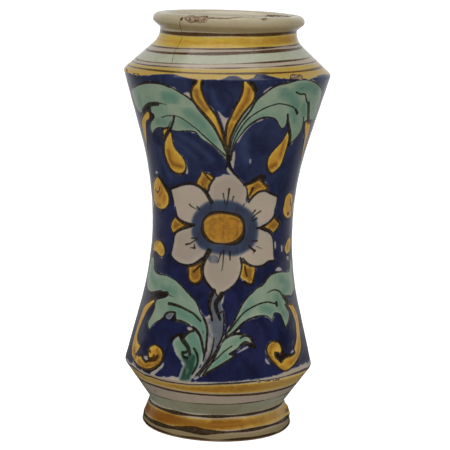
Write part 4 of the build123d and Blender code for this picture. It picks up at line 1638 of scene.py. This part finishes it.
def yellows(shader, colour):
    """Everything painted in yellow and orange, burnt brown in places and thin in others."""
    up, ochre, burnt = shader.up, shader.ochre, shader.soft("burnt")
    burn = shader.clouded("burnt yellow", shader.fine, 0.35, 0.65)
    burn = shader.blend(burn, "foot's burnt orange", up, *DOWN_TO_FOOT)
    deep = shader.times(shader.between(burnt, 0.7, 2.2), shader.between(up, 0.046, 0.05))
    burn = shader.mix(shader.times(deep, 0.7), burn, "darkest burn")
    yellow = shader.blend(yellow_tone(shader), burn, burnt, -1.6, 2.0, 0.8)
    low_thin = shader.times(shader.thinned, shader.between(up, 0.05, 0.044))
    yellow = shader.mix(shader.times(low_thin, 0.62), yellow, "yellow, thin")
    yellow = shader.blend(yellow, "yellow's rim", ochre, 1.2, 0.1, 0.35)
    return shader.blend(colour, yellow, shader.plus(ochre, shader.ragged), -0.2, 0.3)


def washes(shader, colour):
    """The grey-blue ring round the flower's disc and the greyish mauve of the stem."""
    amount = shader.amount("wash")
    edge = shader.plus(shader.plus(amount, shader.ragged), shader.softer)
    ring = shader.blend("blue wash", "blue wash, streaked", shader.streak, 0.3, 0.7)
    ring = shader.blend(ring, "blue wash, thin", amount, 2.0, -1.0)
    colour = shader.blend(colour, ring, edge, -1.5, 0.6, 0.94)
    stem = shader.blend("mauve", "mauve, streaked", shader.streak, 0.3, 0.7)
    stem = shader.blend(stem, "mauve, pale", shader.cloud, 0.5, 0.7)
    stem = shader.mix(shader.times(shader.thinned, 0.7), stem, "mauve, thin")
    stem = shader.blend(stem, "mauve, bluish", shader.fine, 0.55, 0.75)
    return shader.blend(colour, stem, shader.soft("mauve"), -0.5, 0.6, 0.9)


def cobalt_field(shader, colour):
    """The dark blue ground, with gaps that the brush left beside the motifs and a faint haze
    past its edge."""
    gap = shader.greater(shader.swing(shader.noise(7.5, 2.0), 0.52, 0.74, 0.0, 1.25), 0)
    gap = shader.times(gap, shader.between(shader.amount("bare_white"), -0.5, -1.6))
    cobalt = shader.minus(shader.plus(shader.amount("cobalt"), shader.ragged), gap)
    haze = shader.times(shader.between(cobalt, -1.3, -0.1), 0.45)
    haze = shader.times(haze, shader.between(shader.ochre, 1.2, 0.2))
    colour = shader.mix(haze, colour, "cobalt haze")
    blue = shader.blend("cobalt", "cobalt, lighter", shader.cloud, 0.32, 0.68)
    upper = shader.blend("upper cobalt", "upper cobalt, lighter", shader.cloud, 0.3, 0.7)
    blue = shader.blend(blue, upper, shader.up, 0.1, 0.22)
    blue = shader.blend(blue, "cobalt, streaked", shader.streak, 0.6, 0.86, 0.7)
    blue = shader.blend(blue, "cobalt, greenish", shader.fine, 0.66, 0.82, 0.6)
    blue = shader.blend(blue, "cobalt, brushed out", shader.brushed, -2.6, 2.6, 0.45)
    blue = shader.blend(blue, "cobalt, thin", cobalt, 1.1, 0.0, 0.35)
    return shader.blend(colour, blue, cobalt, -0.15, 0.3)


def ink_lines(shader, colour):
    """Manganese brush lines, black to thin brown. Also gives where they cover the glaze."""
    ink = shader.plus(shader.amount("ink"), shader.times(shader.ragged, 0.8))
    brown = shader.blend("manganese", "manganese, thin", shader.fine, 0.35, 0.7)
    brown = shader.blend(brown, "manganese on yellow", shader.ochre, -1.0, 0.8, 0.35)
    brown = shader.mix(shader.times(shader.bands, 0.8), brown, "manganese on the bands")
    brown = shader.blend(brown, "manganese on the foot", shader.up, 0.032, 0.024, 0.75)
    cover = shader.swing(shader.fine, 0.3, 0.75, 1.0, 0.88)
    cover = shader.times(shader.between(ink, -0.28, 0.32), cover)
    return shader.mix(cover, colour, brown), cover


def chips(shader, colour):
    """Crumbly clay where the glaze is chipped. Also gives where that is."""
    chip = shader.plus(shader.amount("chip"), shader.times(shader.ragged, 1.6))
    clay = shader.blend("chipped clay", "chipped clay, dirty", shader.noise(1.4, 3.0), 0.42, 0.56)
    clay = shader.blend(clay, "chip's edge", chip, 0.6, 0.15, 0.85)
    chipped = shader.between(chip, -0.1, 0.25)
    return shader.mix(chipped, colour, clay), chipped


def painted_glaze():
    """Glossy tin glaze with the painting in it. Each colour's edge is its painted distance, made
    ragged by noise, and each paint lies over the ones before it."""
    shader = GlazeShader("painted_tin_glaze")
    colour = tin_glaze(shader)
    for paint in (plain_parts, grey_green, copper_green, yellows, washes, cobalt_field):
        colour = paint(shader, colour)
    colour, cover = ink_lines(shader, colour)
    colour, chipped = chips(shader, colour)
    gloss = shader.swing(shader.noise(7, 3), 0.3, 0.7, 0.08, 0.2)
    gloss = shader.plus(gloss, shader.times(chipped, 0.55))
    ripple = shader.plus(shader.noise(9, 2.0), shader.times(shader.noise(2.0, 2.0), 0.25))
    ripple = shader.minus(shader.plus(ripple, shader.times(cover, 0.3)), chipped)
    sheen = {"IOR": 1.5, "Specular IOR Level": 0.42}
    return shader.finish(colour, gloss, shader.bump(ripple, 0.35, 0.5), **sheen)


def interior_paint():
    """Thin cream glaze inside, clouded and a little stained towards the floor."""
    shader = Shader("interior_tin_glaze")
    colour = shader.clouded("inside", shader.noise(16, 4, 0.6), 0.35, 0.65)
    stain = shader.between(shader.noise(22, 4, 0.6), 0.55, 0.78)
    stain = shader.times(stain, shader.between(shader.height(), 0.2, 0.04))
    colour = shader.mix(shader.times(stain, 0.5), colour, "inside, stained")
    colour = shader.blend(colour, "inside pinhole", shader.noise(1.6, 2), 0.72, 0.78, 0.6)
    gloss = shader.swing(shader.noise(6), 0.3, 0.7, 0.2, 0.38)
    return shader.finish(colour, gloss, shader.bump(shader.noise(5, 3), 0.35, 0.4))


def earthenware():
    """Bare fired clay of the standing ring and underside: buff to pink, gritty and dusty."""
    shader = Shader("bare_earthenware")
    colour = shader.blend("buff clay", "pink clay", shader.noise(18, 4), 0.35, 0.65)
    colour = shader.blend(colour, "grit", shader.noise(0.9, 2), 0.62, 0.74, 0.6)
    colour = shader.blend(colour, "dirt", shader.noise(10, 5, 0.65), 0.55, 0.8, 0.55)
    # Darker towards the standing face
    colour = shader.blend(colour, "worn clay", shader.height(), 0.0022, 0.0006, 0.7)
    grain = shader.plus(shader.noise(1.2, 3), shader.times(shader.noise(6, 2), 0.6))
    return shader.finish(colour, 0.85, shader.bump(grain, 0.6, 0.4), **{"Specular IOR Level": 0.3})


painted = painted_glaze()
inside_finish = interior_paint()
clay_finish = earthenware()

GLAZES = {
    "foot": ("foot_glaze", "foot_band_glaze"),
    "heel": ("heel_glaze", "heel_band_glaze"),
    "barrel": ("barrel_glaze", "painted_blue_glaze"),
    "shoulder": ("shoulder_glaze", "shoulder_band_glaze"),
    "lip": ("lip_glaze", "plain_tin_glaze"),
}
SECTOR_NAMES = ("left", "front", "right", "back")


def rolled(grid, shift):
    """The grid turned by this many columns. Its last column, where the chart meets itself, is
    made a copy of the first."""
    body = np.roll(grid[:, :-1], -shift, axis=1)
    return np.concatenate([body, body[:, :1]], axis=1)


def build_glazes():
    """Every glaze coat in four sectors, named by the side that each faces. The charts are turned
    by half a sector first, so that no seam runs down the middle of the front."""
    sector = chart_columns // len(SECTOR_NAMES)
    for name, (node, slot) in GLAZES.items():
        chart = charts[name]
        swell = rolled(relief(chart), sector // 2)
        for colour in chart.value:
            chart.value[colour] = rolled(chart.value[colour], sector // 2)
        chart.azimuth = chart.azimuth + math.pi / len(SECTOR_NAMES)
        for number, side in enumerate(SECTOR_NAMES):
            start = number * sector
            piece = glaze_shell(chart, swell, f"{node}_{side}", start, start + sector)
            piece.data.materials.append(painted)
            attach(piece, "root")
            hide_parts(node)


def make_outward(piece):
    """Turns every face of a closed shell outwards."""
    shape = bmesh.new()
    shape.from_mesh(piece.data)
    bmesh.ops.recalc_face_normals(shape, faces=shape.faces)
    shape.to_mesh(piece.data)
    shape.free()


def build_interior():
    """The coat inside as one closed turned shell: its face follows the wall from the throat down
    to the middle of the floor with faint throwing rings, and its back lies a coat behind."""
    start, end = corner_run[THROAT], wall_run[-1]
    run = np.linspace(start, end, int((end - start) / interior_row_spacing))
    radius, height, normal_r, normal_z = wall_at(run)
    normal_r[-1], normal_z[-1] = 0.0, 1.0
    fade = np.clip((run - start) / 10, 0, 1) * np.clip((end - run) / 20, 0, 1)
    rings = fade * (0.14 * np.sin(run / 1.7) + 0.12 * np.sin(run / 4.1 + 1))
    face = radius + rings * normal_r, height + rings * normal_z
    back = radius - coat * normal_r, height - coat * normal_z
    line_r = np.concatenate([face[0][:-1], back[0][:-1][::-1]])
    line_z = np.concatenate([face[1][:-1], back[1][:-1][::-1]])
    azimuth = np.arange(interior_columns) * 2 * math.pi / interior_columns
    places = turned(line_r[:, None], line_z[:, None], azimuth[None, :]).reshape(-1, 3)
    places = np.concatenate([places, [[0, 0, face[1][-1]], [0, 0, back[1][-1]]]])
    rows = len(line_r)
    half = rows // 2
    index = np.arange(rows * interior_columns).reshape(rows, interior_columns)
    after = np.roll(index, -1, axis=1)
    quads = []
    for here, there in [(row, row + 1) for row in range(rows - 1) if row != half - 1] + [(rows - 1, 0)]:
        quads.append(np.stack([index[here], after[here], after[there], index[there]], 1))
    face_pole = np.full(interior_columns, len(places) - 2)
    back_pole = np.full(interior_columns, len(places) - 1)
    quads.append(np.stack([index[half - 1], face_pole, face_pole, after[half - 1]], 1))
    quads.append(np.stack([after[half], back_pole, back_pole, index[half]], 1))
    piece = new_piece("interior_glaze_coat", places, np.concatenate(quads))
    make_outward(piece)
    piece.data.materials.append(inside_finish)
    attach(piece, "root")
    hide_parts("interior_glaze")


CLAY_NODES = (
    "floor_disc", "foot_ring", "heel_section", "waisted_barrel", "shoulder_section", "rolled_lip",
)
build_glazes()
build_interior()
for name in CLAY_NODES:
    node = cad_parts[name]
    node.data.materials.clear()
    node.data.materials.append(clay_finish)


def add_camera():
    """The camera that the photograph was taken with."""
    forward, right, up = view_axes()
    data = bpy.data.cameras.new("view")
    data.sensor_width = sensor_width
    data.lens = focal_pixels * sensor_width / frame_pixels
    data.clip_end = 20
    camera = bpy.data.objects.new("view", data)
    turn = Matrix([right, up, -forward]).transposed().to_4x4()
    camera.matrix_world = Matrix.Translation(Vector(camera_place * MM)) @ turn
    bpy.context.scene.collection.objects.link(camera)
    bpy.context.scene.camera = camera


def add_lamp(name, place, target, width, height, power, mirrored):
    """A soft box that faces its target. One that is mirrored shows as a highlight on the glaze
    and lights nothing. The others light the jar and leave no highlight."""
    data = bpy.data.lights.new(name, "AREA")
    data.shape = "RECTANGLE"
    data.size = width
    data.size_y = height
    data.energy = power
    lamp = bpy.data.objects.new(name, data)
    lamp.location = place
    lamp.rotation_euler = (Vector(target) - Vector(place)).to_track_quat("-Z", "Y").to_euler()
    lamp.visible_glossy = mirrored
    lamp.visible_diffuse = not mirrored
    bpy.context.scene.collection.objects.link(lamp)


def seen_directly(nodes):
    """1 on rays from the camera or through glass, which see the white background, and 1 on rays
    that come from a reflection."""
    path = nodes.add("ShaderNodeLightPath").outputs
    return nodes.greater(path["Is Camera Ray"], path["Is Transmission Ray"]), path["Is Glossy Ray"]


def towards_back(nodes, coordinate, near, far, darkest, brightest):
    """From darkest in front of the jar to bright behind it: in mirror reflections the pale
    background stands behind the jar, and the room in front is dim."""
    forward = nodes.add("ShaderNodeSeparateXYZ", {0: coordinate}).outputs[1]
    return nodes.swing(forward, near, far, darkest, brightest, "SMOOTHSTEP")


# The floor's grey, and its glow where it shows white. In reflections the room goes from dark in
# front to bright behind: where that ramp starts and ends, and how bright it is there
floor_grey = 0.65
mirrored_floor_grey = 0.08
floor_glow = 0.8
floor_ramp = (0.0, 0.9, 0.0, 0.55)
wall_ramp = (0.2, 1.0, 0.05, 0.7)
room_light = 0.6


def add_floor():
    """A plain pale floor that shows white to the camera and keeps the jar's soft shadow."""
    bpy.ops.mesh.primitive_plane_add(size=12)
    floor = bpy.context.object
    floor.name = "floor"
    material = bpy.data.materials.new("pale_floor")
    material.use_nodes = True
    nodes = Nodes(material.node_tree)
    direct, mirrored = seen_directly(nodes)
    shade = nodes.minus(floor_grey, nodes.times(mirrored, floor_grey - mirrored_floor_grey))
    matt = nodes.add("ShaderNodeBsdfDiffuse", {"Color": shade})
    place = nodes.add("ShaderNodeNewGeometry").outputs["Position"]
    behind = towards_back(nodes, place, *floor_ramp)
    strength = nodes.greater(direct, nodes.times(mirrored, behind))
    glow = nodes.add("ShaderNodeEmission", {"Strength": nodes.times(strength, floor_glow)})
    both = nodes.add("ShaderNodeAddShader", {0: matt.outputs[0], 1: glow.outputs[0]})
    nodes.add("ShaderNodeOutputMaterial", {"Surface": both.outputs[0]})
    floor.data.materials.append(material)


def add_world():
    """White to the camera and behind the jar in reflections, and a soft even light on it."""
    world = bpy.data.worlds.new("studio")
    bpy.context.scene.world = world
    world.use_nodes = True
    nodes = Nodes(world.node_tree)
    direct, mirrored = seen_directly(nodes)
    way = nodes.add("ShaderNodeTexCoord").outputs["Generated"]
    reflected = nodes.times(mirrored, towards_back(nodes, way, *wall_ramp))
    other = nodes.minus(1, nodes.greater(direct, mirrored))
    strength = nodes.plus(nodes.plus(direct, reflected), nodes.times(other, room_light))
    sky = nodes.add("ShaderNodeBackground", {"Color": (1, 1, 1, 1), "Strength": strength})
    nodes.add("ShaderNodeOutputWorld", {"Surface": sky.outputs[0]})


add_camera()
add_floor()
add_world()
add_lamp("key", (-0.75, -1.15, 1.0), (0, 0, 0.15), 0.7, 0.9, 11.5, False)
add_lamp("fill", (1.0, -0.9, 0.6), (0, 0, 0.14), 0.8, 0.8, 6.5, False)
add_lamp("overhead", (-0.05, 0.1, 1.15), (0, 0, 0.2), 0.7, 0.5, 1.5, False)
add_lamp("softbox", (-0.08, -0.1, 1.1), (0, 0, 0.25), 0.96, 0.8, 4.3, True)
bpy.context.scene.view_settings.view_transform = "Standard"
